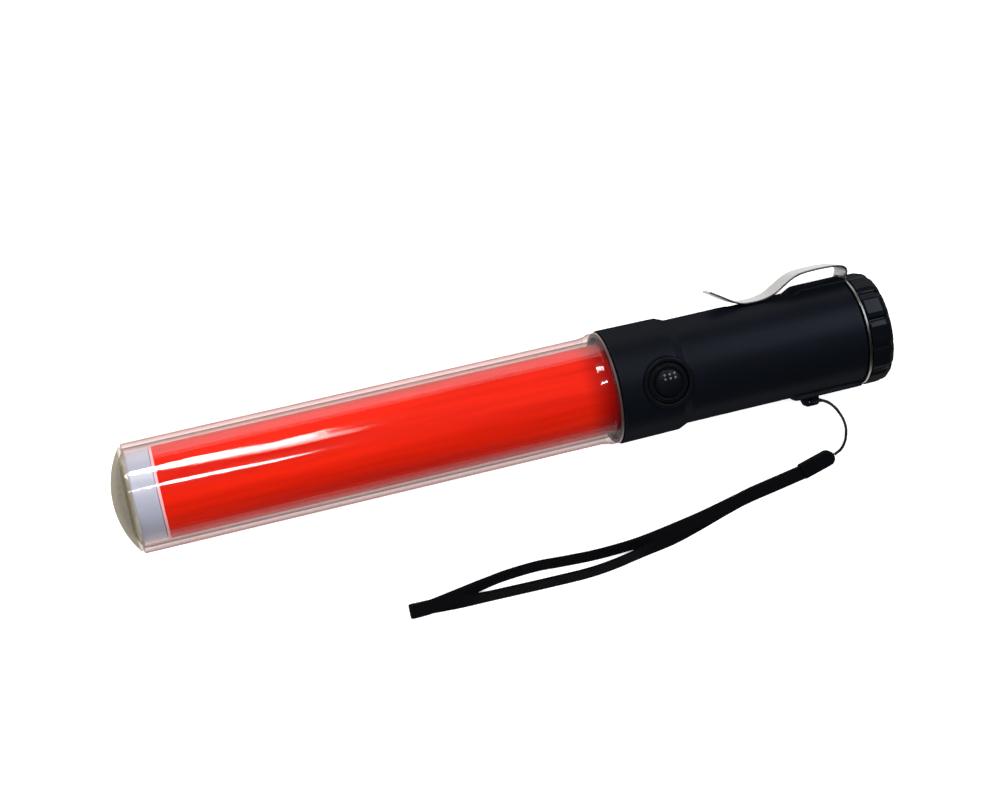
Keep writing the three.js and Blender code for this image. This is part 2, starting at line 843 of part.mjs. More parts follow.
function add(group, name, geometry, material) {
  const mesh = new THREE.Mesh(geometry, material);
  mesh.name = name;
  group.add(mesh);
}

function buildLight(group) {
  add(group, "outer_tube", outerTube(), clearPlastic());
  add(group, "front_lens", frontLens(), clearPlastic());
  add(group, "reflector_cup", reflectorCup(), plain(0xc9ced6, 0.15, 1));
  add(group, "tip_led", tipLed(), plain(0xf2ece0, 0.2));
  add(group, "tip_board", disc(TIP_BOARD_X, TIP_BOARD_R), plain(0xe8e8e4, 0.5));
  add(group, "lamp_holder", lampHolder(), plain(0xe4e2dc, 0.5));
  add(group, "filter_film", ring([FILM_FRONT_X, FILM_BACK_X], FILM_R, FILM_R - FILM_WALL),
    plain(0xe8220c, 0.35));
  add(group, "led_strip_board", ledStripBoard(), plain(0xe8e8e4, 0.5));
  for (let i = 0; i < LED_COUNT; i++) {
    add(group, `red_led_${i + 1}`, stripLed(i), plain(0xd81a10, 0.2));
  }
  add(group, "light_base", lightBase(), plain(0x2a2b2d, 0.5));
  add(group, "tube_gasket", ring([FLANGE_BACK_X + GAP, COLLAR_X - GAP], GASKET_R, SOCKET_R),
    plain(0xd8dcdc, 0.4));
}

function buildHandle(group) {
  add(group, "handle_body", handleBody(), plain(0x17191d, 0.45));
  add(group, "button_bezel", buttonBezel(), plain(0x131417, 0.4));
  add(group, "push_button", pushButton(), plain(0x111214, 0.6));
  add(group, "switch_plunger", switchPlunger(), plain(0xe6e6e2, 0.5));
  add(group, "switch_housing", switchHousing(), plain(0x202226, 0.5));
  add(group, "switch_board", switchBoard(), plain(0x1f5b33, 0.5));
  add(group, "lead_red", lead(1), plain(0xc01818, 0.5));
  add(group, "lead_black", lead(-1), plain(0x141414, 0.5));
  add(group, "front_terminal", frontTerminal(), plain(0xc9a24a, 0.3, 1));
  add(group, "battery_carrier", batteryCarrier(), plain(0x26272a, 0.5));
  add(group, "carrier_front_contact",
    carrierContact(STUD_X[0], PLATE_X[0], PLATE_THICKNESS), plain(0xc9a24a, 0.3, 1));
  add(group, "carrier_rear_contact",
    carrierContact(STUD_X[1], PLATE_X[1], -PLATE_THICKNESS), plain(0xc9a24a, 0.3, 1));
  for (let i = 0; i < 3; i++) {
    add(group, `cell_${i + 1}`, cell(i), plain(0x3a5a86, 0.35, 0.4));
    add(group, `cell_spring_${i + 1}`, cellSpring(i), plain(0xb9bdc2, 0.3, 1));
  }
}

function buildTail(group) {
  add(group, "clip_ring", clipRing(), plain(0xb8b9ba, 0.3, 1));
  add(group, "clip_spring", clipSpring(), plain(0xb8b9ba, 0.3, 1));
  add(group, "tail_cap", tailCap(), plain(0x141518, 0.25));
  add(group, "cap_seal", capSeal(), plain(0x1c1c1e, 0.7));
  add(group, "tail_contact", tailContact(), plain(0xc9a24a, 0.3, 1));
  add(group, "tail_spring", tailSpring(), plain(0xb9bdc2, 0.3, 1));
}

function buildStrap(group) {
  add(group, "strap_cord", strapCord(), plain(0x151517, 0.8));
  add(group, "strap_sleeve", strapSleeve(), plain(0x121316, 0.5));
  add(group, "strap_webbing", strapWebbing(), plain(0x17171a, 0.85));
}

const baton = new THREE.Group();
buildLight(baton);
buildHandle(baton);
buildTail(baton);

// The origin is under the middle of the baton's box, strap left out.
const arch = Math.max(...CLIP_LINE.map(([, y]) => y)) + CLIP_THICKNESS / 2;
const front = LENS_APEX_X * Math.cos(TILT);
const back = CAP_BACK_X * Math.cos(TILT) + CAP_FACE_R * Math.sin(TILT);
baton.rotation.y = TILT;
baton.position.set(-(front + back) / 2, -(arch + LUG_Y) / 2, AXIS_HEIGHT);

const object = new THREE.Group();
object.add(baton);
buildStrap(object);

export default object;
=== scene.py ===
"""A hand-held traffic baton light, lying on a pale floor with its wrist strap beside it.

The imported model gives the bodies, the joints and the places. The pieces here are its fine surface.
Sizes in the classes are millimetres in the baton's own frame: X runs along its axis from the front
end of the tube to the tail, +Y is the clip's side and +Z the button's. The strap's points are
millimetres on the floor. Everything becomes metres when a piece is made.
"""

import json
import logging
import math
from collections.abc import Sequence
from dataclasses import dataclass
from enum import Enum

import bmesh
import bpy
from mathutils import Matrix, Vector


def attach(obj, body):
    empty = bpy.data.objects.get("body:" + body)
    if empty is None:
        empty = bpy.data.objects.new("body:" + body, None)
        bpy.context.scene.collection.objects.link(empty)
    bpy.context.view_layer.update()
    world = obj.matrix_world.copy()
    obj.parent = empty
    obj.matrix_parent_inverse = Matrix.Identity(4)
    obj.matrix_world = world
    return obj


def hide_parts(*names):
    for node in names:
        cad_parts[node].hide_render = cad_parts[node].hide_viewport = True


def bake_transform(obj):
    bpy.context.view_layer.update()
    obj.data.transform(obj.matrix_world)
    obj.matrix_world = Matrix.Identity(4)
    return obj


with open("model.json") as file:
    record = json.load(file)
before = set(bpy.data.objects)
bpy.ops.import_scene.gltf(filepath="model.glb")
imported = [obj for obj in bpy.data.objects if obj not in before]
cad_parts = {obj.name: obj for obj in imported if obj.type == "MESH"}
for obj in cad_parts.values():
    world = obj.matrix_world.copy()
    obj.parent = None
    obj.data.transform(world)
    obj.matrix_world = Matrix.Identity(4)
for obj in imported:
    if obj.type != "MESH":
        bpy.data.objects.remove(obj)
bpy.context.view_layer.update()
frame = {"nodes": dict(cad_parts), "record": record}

LOG = logging.getLogger("baton")
MM = 0.001
TAIL_X = 284.0
BUTTON_X = 195.3
WHITE = "#FFFFFF"
# The bands that a wave texture of scale 1 has in one unit.
BANDS_PER_UNIT = 3.18
# Points closer than this, in millimetres, are the same point.
SAME = 1e-4

ORIGIN = (0, 0, 0)
X_AXIS = (1, 0, 0)

Node = bpy.types.Node
Pair = tuple[float, float]
Triple = tuple[float, float, float]
Point = Sequence[float]
Shape = bmesh.types.BMesh
Socket = bpy.types.NodeSocket
Tree = bpy.types.NodeTree


def facing(x: Vector, y: Vector, z: Vector) -> Matrix:
    """Returns the turn that takes the three axes to three directions."""
    return Matrix((x, y, z)).transposed().to_4x4()


def baton_frame() -> Matrix:
    """Finds where the baton lies, from the flat face of its tail.

    Returns:
        The matrix from the baton's own frame, in millimetres, to the floor's, in metres.
    """
    tail = frame["record"]["mounts"][0]
    along = Vector(tail["axis"]).normalized()
    up = along.cross(Vector((0, 1, 0))).normalized()
    origin = Vector(tail["pos_m"]) - along * TAIL_X * MM
    return Matrix.Translation(origin) @ facing(along, up.cross(along), up) @ Matrix.Scale(MM, 4)


BATON = baton_frame()
FLOOR = Matrix.Scale(MM, 4)


# Finishes.


def linear(colour: str) -> tuple[float, float, float, float]:
    """Turns an sRGB hex colour into linear light.

    Args:
        colour: Six hex digits after a hash.

    Returns:
        Red, green, blue and an alpha of 1.
    """
    channels = [int(colour[i : i + 2], 16) / 255 for i in (1, 3, 5)]
    light = [c / 12.92 if c <= 0.04045 else ((c + 0.055) / 1.055) ** 2.4 for c in channels]
    return (*light, 1.0)


def add_node(tree: Tree, kind: str, inputs: dict | None = None, **settings) -> Node:
    """Adds a node with its settings and links.

    Args:
        tree: The material's node tree.
        kind: The node's type name, without its first words ShaderNode.
        inputs: For a socket's name or number, a value, or an output that feeds it.
        **settings: The node's own properties.

    Returns:
        The new node.
    """
    node = tree.nodes.new("ShaderNode" + kind)
    for name, value in settings.items():
        setattr(node, name, value)
    for key, value in (inputs or {}).items():
        if isinstance(value, Socket):
            tree.links.new(value, node.inputs[key])
        else:
            node.inputs[key].default_value = value
    return node


def ramp(tree: Tree, factor: Socket, low: float, high: float) -> Socket:
    """Spreads a pattern's 0 to 1 between two numbers.

    Args:
        tree: The material's node tree.
        factor: The pattern.
        low: The number at 0.
        high: The number at 1.

    Returns:
        The spread number.
    """
    return add_node(tree, "MapRange", {"Value": factor, "To Min": low, "To Max": high}).outputs[0]


def tinted(tree: Tree, factor: Socket, low: Socket | str, high: Socket | str) -> Socket:
    """Runs a pattern between two colours.

    Args:
        tree: The material's node tree.
        factor: The pattern.
        low: The colour at 0.
        high: The colour at 1.

    Returns:
        The mixed colour.
    """
    low, high = (linear(c) if isinstance(c, str) else c for c in (low, high))
    return add_node(tree, "Mix", {0: factor, 6: low, 7: high}, data_type="RGBA").outputs[2]


def grain(tree: Tree, size: Point, detail: float = 2.0, rough: float = 0.5) -> Socket:
    """A noise whose grains have a real size.

    Args:
        tree: The material's node tree.
        size: Length of a grain along x, y and z, in millimetres.
        detail: Octaves of finer noise.
        rough: How strong the finer noise is.

    Returns:
        The noise, 0 to 1.
    """
    place = add_node(tree, "TexCoord").outputs["Object"]
    scale = tuple(1 / (s * MM) for s in size)
    mapping = add_node(tree, "Mapping", {"Vector": place, "Scale": scale})
    inputs = {"Vector": mapping.outputs[0], "Scale": 1.0, "Detail": detail, "Roughness": rough}
    return add_node(tree, "TexNoise", inputs).outputs[0]


def along_baton(tree: Tree, start: float, end: float, low: float, high: float, kind: str) -> Socket:
    """A number that changes along the baton.

    Args:
        tree: The material's node tree.
        start: Where the change starts, in millimetres on the floor's X.
        end: Where it ends.
        low: The number before the start.
        high: The number after the end.
        kind: LINEAR or SMOOTHSTEP.

    Returns:
        The number.
    """
    place = add_node(tree, "TexCoord").outputs["Object"]
    x = add_node(tree, "SeparateXYZ", {0: place}).outputs["X"]
    ends = {"Value": x, "From Min": start * MM, "From Max": end * MM, "To Min": low, "To Max": high}
    return add_node(tree, "MapRange", ends, interpolation_type=kind).outputs[0]


@dataclass(frozen=True)
class Surface:
    """What every finish shares: a material is made from its shader."""

    name: str

    def shade(self, tree: Tree) -> Node:
        """Returns the finish's shader, which each kind of finish makes in its own way."""
        raise NotImplementedError

    def material(self) -> bpy.types.Material:
        """Makes a material of the shader.

        Returns:
            The new material.
        """
        material = bpy.data.materials.new(self.name)
        material.use_nodes = True
        tree = material.node_tree
        tree.nodes.clear()
        output = add_node(tree, "OutputMaterial")
        tree.links.new(self.shade(tree).outputs[0], output.inputs[0])
        return material


@dataclass(frozen=True)
class MouldedPlastic(Surface):
    """Injection-moulded plastic: an even colour with a fine spark-eroded grain and soft flow marks."""

    colour: str
    flow: str
    roughness: float
    grain_mm: float = 0.45
    relief: float = 0.12
    specular: float = 0.5
    satin: float = 0.0
    flow_mm: Triple = (26, 9, 9)

    def shade(self, tree: Tree) -> Node:
        """Makes the shader: its grain breaks up the gloss and its flow marks the colour.

        A satin face is so finely eroded that its gloss doesn't grow at a glancing angle.

        Args:
            tree: The material's node tree.

        Returns:
            The shader.
        """
        fine = grain(tree, (self.grain_mm,) * 3)
        broad = grain(tree, self.flow_mm, 3.0)
        bump = add_node(tree, "Bump", {"Height": fine, "Strength": self.relief, "Distance": 0.1 * MM})
        inputs = {
            "Base Color": tinted(tree, broad, self.colour, self.flow),
            "Roughness": ramp(tree, broad, self.roughness - 0.05, self.roughness + 0.06),
            "Normal": bump.outputs[0],
            "Specular IOR Level": 0.0 if self.satin else self.specular,
            "IOR": 1.5,
        }
        plain = add_node(tree, "BsdfPrincipled", inputs)
        if not self.satin:
            return plain
        inputs = {"Color": linear(WHITE), "Roughness": self.roughness, "Normal": bump.outputs[0]}
        gloss = add_node(tree, "BsdfAnisotropic", inputs)
        return add_node(tree, "MixShader", {0: self.satin, 1: plain.outputs[0], 2: gloss.outputs[0]})


@dataclass(frozen=True)
class SheetMetal(Surface):
    """Metal with the fine lines of rolling or brushing along its length."""

    colour: str
    dark: str
    roughness: float
    line_mm: Triple = (9.0, 0.25, 0.25)
    relief: float = 0.15
    cloud_mm: Triple = (14, 14, 14)

    def shade(self, tree: Tree) -> Node:
        """Makes the shader: the lines stretch its highlights, and a darker tone clouds it.

        Args:
            tree: The material's node tree.

        Returns:
            The shader.
        """
        lines = grain(tree, self.line_mm, 3.0)
        clouds = grain(tree, self.cloud_mm)
        bump = add_node(tree, "Bump", {"Height": lines, "Strength": self.relief, "Distance": 0.05 * MM})
        inputs = {
            "Base Color": tinted(tree, clouds, self.dark, self.colour),
            "Metallic": 1.0,
            "Roughness": ramp(tree, lines, self.roughness - 0.06, self.roughness + 0.1),
            "Normal": bump.outputs[0],
        }
        return add_node(tree, "BsdfPrincipled", inputs)


@dataclass(frozen=True)
class ClearPlastic(Surface):
    """Clear plastic, extruded or moulded: it shows what is behind it, and whitens seen edge on.

    Both of a wall's faces reflect alike, so the gloss follows Schlick's rule and not the Fresnel node,
    which mirrors everything on a face that is met from inside.
    """

    tint: str
    # Seen edge on, the wall runs to this tint: on the tube it is partly the wall's own tint and partly the
    # film's painted red glow, and on the lens it is part of a painted darker reflection.
    painted_edge_tint: str
    haze_colour: str
    haze: float
    edge_haze: float
    edge_power: float = 3.0
    roughness: float = 0.05
    mirror: Pair = (0.028, 0.07)
    tint_power: float = 2.5
    mark_mm: Triple = (60, 1.4, 1.4)
    clears_at: float | None = None
    clear_tint: str = "#F4F2EE"
    clear_share: float = 0.15
    clears_over: float = 0.6

    def shade(self, tree: Tree) -> Node:
        """Makes the shader: a gloss that grows at a glance, over a tinted clear layer with a little haze.

        Args:
            tree: The material's node tree.

        Returns:
            The shader.
        """
        marks = grain(tree, self.mark_mm, 3.0)
        glance = add_node(tree, "LayerWeight", {"Blend": 0.5}).outputs["Facing"]
        powers = (self.tint_power, self.edge_power, 5.0)
        deep, edge, schlick = (
            add_node(tree, "Math", {0: glance, 1: power}, operation="POWER").outputs[0] for power in powers
        )
        tint = tinted(tree, deep, self.tint, self.painted_edge_tint)
        haze = ramp(tree, marks, self.haze * 0.6, self.haze * 1.4)
        if self.clears_at is not None:
            start, end = self.clears_at - self.clears_over, self.clears_at + self.clears_over
            share = along_baton(tree, start, end, 1.0, self.clear_share, "LINEAR")
            haze = add_node(tree, "Math", {0: haze, 1: share}, operation="MULTIPLY").outputs[0]
            tint = tinted(tree, share, self.clear_tint, tint)
        clear = add_node(tree, "BsdfTransparent", {"Color": tint})
        milk = add_node(tree, "BsdfDiffuse", {"Color": linear(self.haze_colour)})
        milky = add_node(tree, "Math", {0: edge, 1: self.edge_haze, 2: haze}, operation="MULTIPLY_ADD")
        body = add_node(tree, "MixShader", {0: milky.outputs[0], 1: clear.outputs[0], 2: milk.outputs[0]})
        bump = add_node(tree, "Bump", {"Height": marks, "Strength": 0.02, "Distance": 0.1 * MM})
        inputs = {"Color": linear(WHITE), "Roughness": self.roughness, "Normal": bump.outputs[0]}
        gloss = add_node(tree, "BsdfAnisotropic", inputs)
        shine = ramp(tree, schlick, *self.mirror)
        return add_node(tree, "MixShader", {0: shine, 1: body.outputs[0], 2: gloss.outputs[0]})


@dataclass(frozen=True)
class RolledFilm(Surface):
    """Printed polyester film: a strong colour with lengthwise streaks and a soft sheen, and a painted shade
    toward the collar.
    """

    name: str = "red_polyester_film"
    colour: str = "#FF2A0A"
    streak: str = "#A20802"
    # Painted shade: between the two places of shade_x the red turns to this deeper red, toward the collar.
    deep: str = "#8E0602"
    roughness: float = 0.5
    streak_mm: Triple = (110, 5, 5)
    ripple_mm: Triple = (90, 7, 7)
    shade_x: Pair = (26.0, 37.0)

    def shade(self, tree: Tree) -> Node:
        """Makes the shader: long streaks vary its red, and a painted shade deepens it toward the collar.

        Args:
            tree: The material's node tree.

        Returns:
            The shader.
        """
        streaks = grain(tree, self.streak_mm, 3.0, 0.6)
        # Painted shade: 0 away from the collar, 1 at its end.
        shade = along_baton(tree, *self.shade_x, 0.0, 1.0, "SMOOTHSTEP")
        ripples = grain(tree, self.ripple_mm, 1.0)
        bump = add_node(tree, "Bump", {"Height": ripples, "Strength": 0.5, "Distance": 0.4 * MM})
        inputs = {
            "Base Color": tinted(tree, shade, tinted(tree, streaks, self.streak, self.colour), self.deep),
            "Roughness": ramp(tree, streaks, self.roughness - 0.06, self.roughness + 0.06),
            "Normal": bump.outputs[0],
            "Specular IOR Level": 0.05,
        }
        return add_node(tree, "BsdfPrincipled", inputs)


@dataclass(frozen=True)
class LitTable(Surface):
    """A white acrylic table, lit a little from below so that shadows stay faint."""

    name: str = "lit_white_table"
    colour: str = "#F4F4F4"
    glow: float = 0.55
    cloud_mm: Triple = (300, 300, 300)

    def shade(self, tree: Tree) -> Node:
        """Makes the shader: a faint cloudiness keeps it from being one flat tone.

        Args:
            tree: The material's node tree.

        Returns:
            The shader.
        """
        clouds = grain(tree, self.cloud_mm)
        inputs = {
            "Base Color": tinted(tree, clouds, WHITE, self.colour),
            "Roughness": 0.9,
            "Specular IOR Level": 0.0,
            "Emission Color": linear(WHITE),
            "Emission Strength": self.glow,
        }
        return add_node(tree, "BsdfPrincipled", inputs)


@dataclass(frozen=True)
class WovenNylon(Surface):
    """Woven nylon: yarns across and along a band, read from the piece's own UV map in millimetres."""

    colour: str
    light: str
    yarn_mm: float = 0.7
    relief: float = 0.7
    fuzz_mm: float = 0.2

    def shade(self, tree: Tree) -> Node:
        """Makes the shader: the yarns are drawn a little coarse, so that they show.

        Args:
            tree: The material's node tree.

        Returns:
            The shader.
        """
        place = add_node(tree, "UVMap", uv_map="Weave").outputs[0]
        inputs = {"Vector": place, "Scale": 1 / self.yarn_mm / BANDS_PER_UNIT, "Distortion": 0.4}
        along, across = (add_node(tree, "TexWave", inputs, bands_direction=way).outputs[1] for way in "XY")
        weave = add_node(tree, "Math", {0: along, 1: across}, operation="MULTIPLY").outputs[0]
        fuzz = grain(tree, (self.fuzz_mm,) * 3)
        height = add_node(tree, "Math", {0: fuzz, 1: 0.3, 2: weave}, operation="MULTIPLY_ADD").outputs[0]
        bump = add_node(tree, "Bump", {"Height": height, "Strength": self.relief, "Distance": 0.2 * MM})
        inputs = {
            "Base Color": tinted(tree, height, self.colour, self.light),
            "Roughness": 0.85,
            "Normal": bump.outputs[0],
            "Specular IOR Level": 0.06,
        }
        return add_node(tree, "BsdfPrincipled", inputs)


class Finish(Enum):
    """The finishes of the baton's pieces: the slot in the record, and the surface."""

    # Clear as water face on, with a warm grey line where its wall is seen edge on; the line's pinkish brown
    # is partly the thick wall's own tint and partly painted light, the film's red glow bent through the
    # wall.
    TUBE = (
        "clear_tube",
        ClearPlastic("clear_polycarbonate", "#FCFAF9", "#8E5A4C", "#DCD2D2", 0.0, 0.2, 7.0, 0.07),
    )
    # A painted reflection: the dome's smoky, faintly yellow tint, which dulls what is behind it, stands in
    # for the darker surround that it reflects; its rim is clearer.
    LENS = (
        "clear_lens",
        ClearPlastic(
            "smoky_lens_painted_reflection", "#C2BBAA", "#8A826F", "#A8A08C", 0.2, 0.4, 2.0, 0.07, clears_at=-140.1
        ),
    )
    # A painted reflection: the plated cup's mirror is given as a pale blue-grey colour with a soft gloss.
    CUP = ("plated_cup", MouldedPlastic("cup_painted_reflection", "#AEB6C8", "#A2AABC", 0.3, 0.8, 0.05))
    # A saturated orange-red, streaked lengthwise and nearly without gloss, with a painted shade deepening it
    # toward the collar.
    FILM = ("red_film", RolledFilm())
    # The film's cut edge, pale pink where the print stops.
    HEM = ("red_film", MouldedPlastic("pale_film_hem", "#F2BFC6", "#EBB2BA", 0.4))
    # Inside the baton: off-white boards and holders, milky and red emitters, a dull black base.
    BOARD = ("white_board", MouldedPlastic("white_coated_board", "#E6E6E0", "#D8D8D0", 0.45, 0.8))
    HOLDER = ("white_holder", MouldedPlastic("white_abs_holder", "#E2E0D8", "#D4D1C7", 0.5))
    TIP = ("tip_emitter", MouldedPlastic("milky_epoxy", "#EFE8D8", "#DDD3BD", 0.18, 0.8, 0.03))
    RED = ("red_emitter", MouldedPlastic("red_epoxy", "#D8200F", "#B81208", 0.16, 0.8, 0.03))
    BASE = ("black_base", MouldedPlastic("black_abs_base", "#1C1D1F", "#141517", 0.5))
    # Clear vinyl pinched under the flange, painted a dark, reddish-brown line: painted shade in the gap
    # between flange and collar, reddened by the film.
    GASKET = ("clear_gasket", MouldedPlastic("gasket_painted_shade", "#4A302D", "#3C2624", 0.35, 0.9, 0.05))
    # Finely eroded black ABS: deep black with one broad, soft, bluish sheen.
    HANDLE = (
        "black_handle",
        MouldedPlastic("black_abs_handle", "#07090D", "#0B0E14", 0.36, 0.5, 0.16, satin=0.005),
    )
    # The same black, a little smoother, so that its edge catches a thin line of light.
    BEZEL = (
        "black_bezel",
        MouldedPlastic("black_abs_bezel", "#07080B", "#0A0C10", 0.3, 0.5, 0.08, satin=0.005),
    )
    # Moulded silicone: matt black with a weak sheen on its dome, and dots painted grey as a painted
    # highlight, for the light they catch.
    RUBBER = (
        "button_rubber",
        MouldedPlastic("black_silicone", "#07080A", "#0A0B0E", 0.36, 0.3, 0.1, satin=0.006),
    )
    DOTS = ("button_rubber", MouldedPlastic("dots_painted_highlight", "#5C6066", "#4C5056", 0.3, 0.3, 0.1))
    # Inside the handle: a grey switch, a green board, red and black wires, golden contacts.
    SWITCH = ("switch_plastic", MouldedPlastic("grey_switch_plastic", "#2A2B2E", "#202124", 0.45))
    GREEN = ("green_board", MouldedPlastic("green_laminate", "#1E5A36", "#174A2B", 0.35, 0.9))
    RED_WIRE = ("red_wire", MouldedPlastic("red_vinyl_wire", "#B81818", "#9C1010", 0.4))
    BLACK_WIRE = ("black_wire", MouldedPlastic("black_vinyl_wire", "#151515", "#101010", 0.4))
    BRASS = ("contact_brass", SheetMetal("stamped_brass", "#D2AC5A", "#B08A3C", 0.3))
    # The carrier is dull black, the cells' jackets a metallic blue, and the springs bright.
    CARRIER = ("carrier_plastic", MouldedPlastic("black_abs_carrier", "#1B1C1F", "#151619", 0.5))
    CELL = ("cell_wrap", SheetMetal("lacquered_cell_jacket", "#5F7FB0", "#3E5C8C", 0.3, (3, 3, 3), 0.03))
    SPRING = ("spring_steel", SheetMetal("nickel_plated_wire", "#C4C6CA", "#A9ABB0", 0.25, (0.6, 0.6, 0.6)))
    # Rolled steel: a satin mid grey whose highlights stretch across the strip.
    CLIP = ("clip_steel", SheetMetal("rolled_spring_steel", "#827F7B", "#6C6965", 0.3, (9.0, 9.0, 0.3)))
    # Polished ABS: black with sharper glints on each lobe than the handle has.
    CAP = (
        "cap_plastic",
        MouldedPlastic("gloss_black_abs", "#07080B", "#0A0C10", 0.2, 0.9, 0.04, satin=0.008),
    )
    # Nitrile rubber: an even, soft black.
    SEAL = ("seal_rubber", MouldedPlastic("black_nitrile", "#121212", "#0D0D0D", 0.55))
    # The strap is the darkest thing here: a matt braid, a faintly glossy sleeve, and ribbed webbing.
    CORD = ("strap_cord", MouldedPlastic("braided_nylon_cord", "#050506", "#0C0C0F", 0.7, 0.35, 0.9, 0.2))
    SLEEVE = (
        "strap_sleeve",
        MouldedPlastic("black_nylon_sleeve", "#050608", "#090A0D", 0.36, 0.5, 0.1, satin=0.003),
    )
    WEBBING = ("strap_webbing", WovenNylon("black_nylon_webbing", "#040405", "#0C0C0F"))

    @property
    def material(self) -> bpy.types.Material:
        """The finish's material, made once."""
        made = self.value[1]
        return bpy.data.materials.get(made.name) or made.material()

    @property
    def slot(self) -> str:
        """The record's slot that the finish belongs to."""
        return self.value[0]


# Shapes.


def smooth(t: float) -> float:
    """Eases 0 to 1, and holds outside that."""
    t = min(max(t, 0.0), 1.0)
    return t * t * (3 - 2 * t)


def rounded(corners: Sequence[Point], closed: bool = False, steps: int = 4) -> list[Vector]:
    """Rounds an outline's corners.

    Args:
        corners: Each corner's place, and after it the radius of its rounding where it has one.
        closed: Whether the last corner leads back to the first.
        steps: Straight pieces in each rounding.

    Returns:
        The outline's points.
    """
    points: list[Vector] = []
    for i, corner in enumerate(corners):
        here = Vector(corner[:2])
        ends = not closed and i in (0, len(corners) - 1)
        if len(corner) < 3 or ends:
            points.append(here)
            continue
        back = Vector(corners[i - 1][:2]) - here
        on = Vector(corners[(i + 1) % len(corners)][:2]) - here
        half = back.angle(on) / 2
        cut = corner[2] / math.tan(half)
        middle = here + (back.normalized() + on.normalized()).normalized() * corner[2] / math.sin(half)
        start = here + back.normalized() * cut - middle
        sweep = (math.pi - 2 * half) * (1 if back.x * on.y - back.y * on.x < 0 else -1)
        for j in range(steps + 1):
            points.append(middle + Matrix.Rotation(sweep * j / steps, 2) @ start)
    return points


def spread(start: float, end: float, steps: int) -> list[float]:
    """Returns evenly spread numbers, with both ends."""
    return [start + (end - start) * i / steps for i in range(steps + 1)]


def running(line: Sequence[Vector]) -> list[float]:
    """Measures a line.

    Args:
        line: The line's points.

    Returns:
        Its length up to each of the points.
    """
    run = [0.0]
    for a, b in zip(line, line[1:]):
        run.append(run[-1] + (b - a).length)
    return run


def heading(line: Sequence[Vector], i: int) -> Vector:
    """Returns a line's direction at one of its points."""
    return (line[min(i + 1, len(line) - 1)] - line[max(i - 1, 0)]).normalized()


def flat_section(width: float, thickness: float, edge: float) -> list[Vector]:
    """Returns a flat section whose corners are rounded, as points across it and through it."""
    signs = ((-1, -1), (1, -1), (1, 1), (-1, 1))
    return rounded([(x * width / 2, y * thickness / 2, edge) for x, y in signs], True, 3)


def turned(outline: Sequence[Point], steps: int = 128, closed: bool = True) -> Shape:
    """Turns an outline about the X axis.

    Args:
        outline: Points along the axis and out from it.
        steps: Faces round the axis.
        closed: Whether the last point joins the first; an outline from axis to axis is left open.

    Returns:
        The turned shape, with its faces outward.
    """
    shape = bmesh.new()
    verts = [shape.verts.new((p[0], 0, p[1])) for p in outline]
    edges = [shape.edges.new(pair) for pair in zip(verts, verts[1:])]
    if closed:
        edges.append(shape.edges.new((verts[-1], verts[0])))
    geometry = verts + edges
    bmesh.ops.spin(
        shape, geom=geometry, cent=ORIGIN, axis=X_AXIS, angle=math.tau, steps=steps, use_merge=True
    )
    bmesh.ops.remove_doubles(shape, verts=shape.verts, dist=SAME)
    bmesh.ops.recalc_face_normals(shape, faces=shape.faces)
    return shape


def turned_ring(corners: Sequence[Point], steps: int = 128) -> Shape:
    """Turns a closed outline, with its corners rounded, about the X axis."""
    return turned(rounded(corners, True), steps)


def rod(start: float, end: float, r: float, steps: int) -> Shape:
    """Turns a plain rod about the X axis, from start to end."""
    return turned([(start, 0), (start, r), (end, r), (end, 0)], steps, False)


def stood(shape: Shape, x: float, y: float = 0.0) -> Shape:
    """Stands a shape turned about X upright, about a Z axis at x and y.

    Args:
        shape: The turned shape.
        x: Place along the baton.
        y: Place across it.

    Returns:
        The same shape.
    """
    turn = Matrix.Translation((x, y, 0)) @ Matrix.Rotation(-math.pi / 2, 4, "Y")
    bmesh.ops.transform(shape, matrix=turn, verts=shape.verts)
    return shape


def block(corners: Sequence[Point], reach: Point) -> Shape:
    """Extrudes a face.

    Args:
        corners: The face's corners.
        reach: How far it is extruded, and which way.

    Returns:
        The block, with its faces outward.
    """
    shape = bmesh.new()
    face = shape.faces.new([shape.verts.new(c) for c in corners])
    grown = bmesh.ops.extrude_face_region(shape, geom=[face])["geom"]
    moved = [v for v in grown if isinstance(v, bmesh.types.BMVert)]
    bmesh.ops.translate(shape, vec=reach, verts=moved)
    bmesh.ops.recalc_face_normals(shape, faces=shape.faces)
    return shape


def plate(outline: Sequence[Vector], low: float, high: float) -> Shape:
    """Returns a flat plate with an outline in X and Y, from its lower to its upper face."""
    return block([(p[0], p[1], low) for p in outline], (0, 0, high - low))


def softened(shape: Shape, width: float, angle: float = 30.0) -> Shape:
    """Rounds a shape's sharp edges.

    Args:
        shape: The shape.
        width: The rounding's width.
        angle: The least angle, in degrees, that counts as sharp.

    Returns:
        The same shape.
    """
    sharp = [e for e in shape.edges if e.is_manifold and e.calc_face_angle(0) > math.radians(angle)]
    bmesh.ops.bevel(
        shape,
        geom=sharp,
        offset=width,
        segments=3,
        affect="EDGES",
        profile=0.5,
        material=-1,
        clamp_overlap=True,
    )
    return shape


def swept(stations: Sequence[Sequence[Vector]]) -> Shape:
    """Carries a section along a row of stations, and closes both ends.

    Args:
        stations: The section's corners at each station.

    Returns:
        The swept shape.
    """
    shape = bmesh.new()
    ring = [shape.verts.new(p) for p in stations[0]]
    edges = [shape.edges.new(pair) for pair in zip(ring, ring[1:] + ring[:1])]
    first = list(edges)
    for station in stations[1:]:
        grown = bmesh.ops.extrude_edge_only(shape, edges=edges)["geom"]
        fresh = {v for v in grown if isinstance(v, bmesh.types.BMVert)}
        edges = [e for e in grown if isinstance(e, bmesh.types.BMEdge) and all(v in fresh for v in e.verts)]
        ring = [next(e.other_vert(v) for e in v.link_edges if e.other_vert(v) in fresh) for v in ring]
        for vert, place in zip(ring, station):
            vert.co = place
    bmesh.ops.contextual_create(shape, geom=first)
    bmesh.ops.contextual_create(shape, geom=edges)
    bmesh.ops.recalc_face_normals(shape, faces=shape.faces)
    return shape


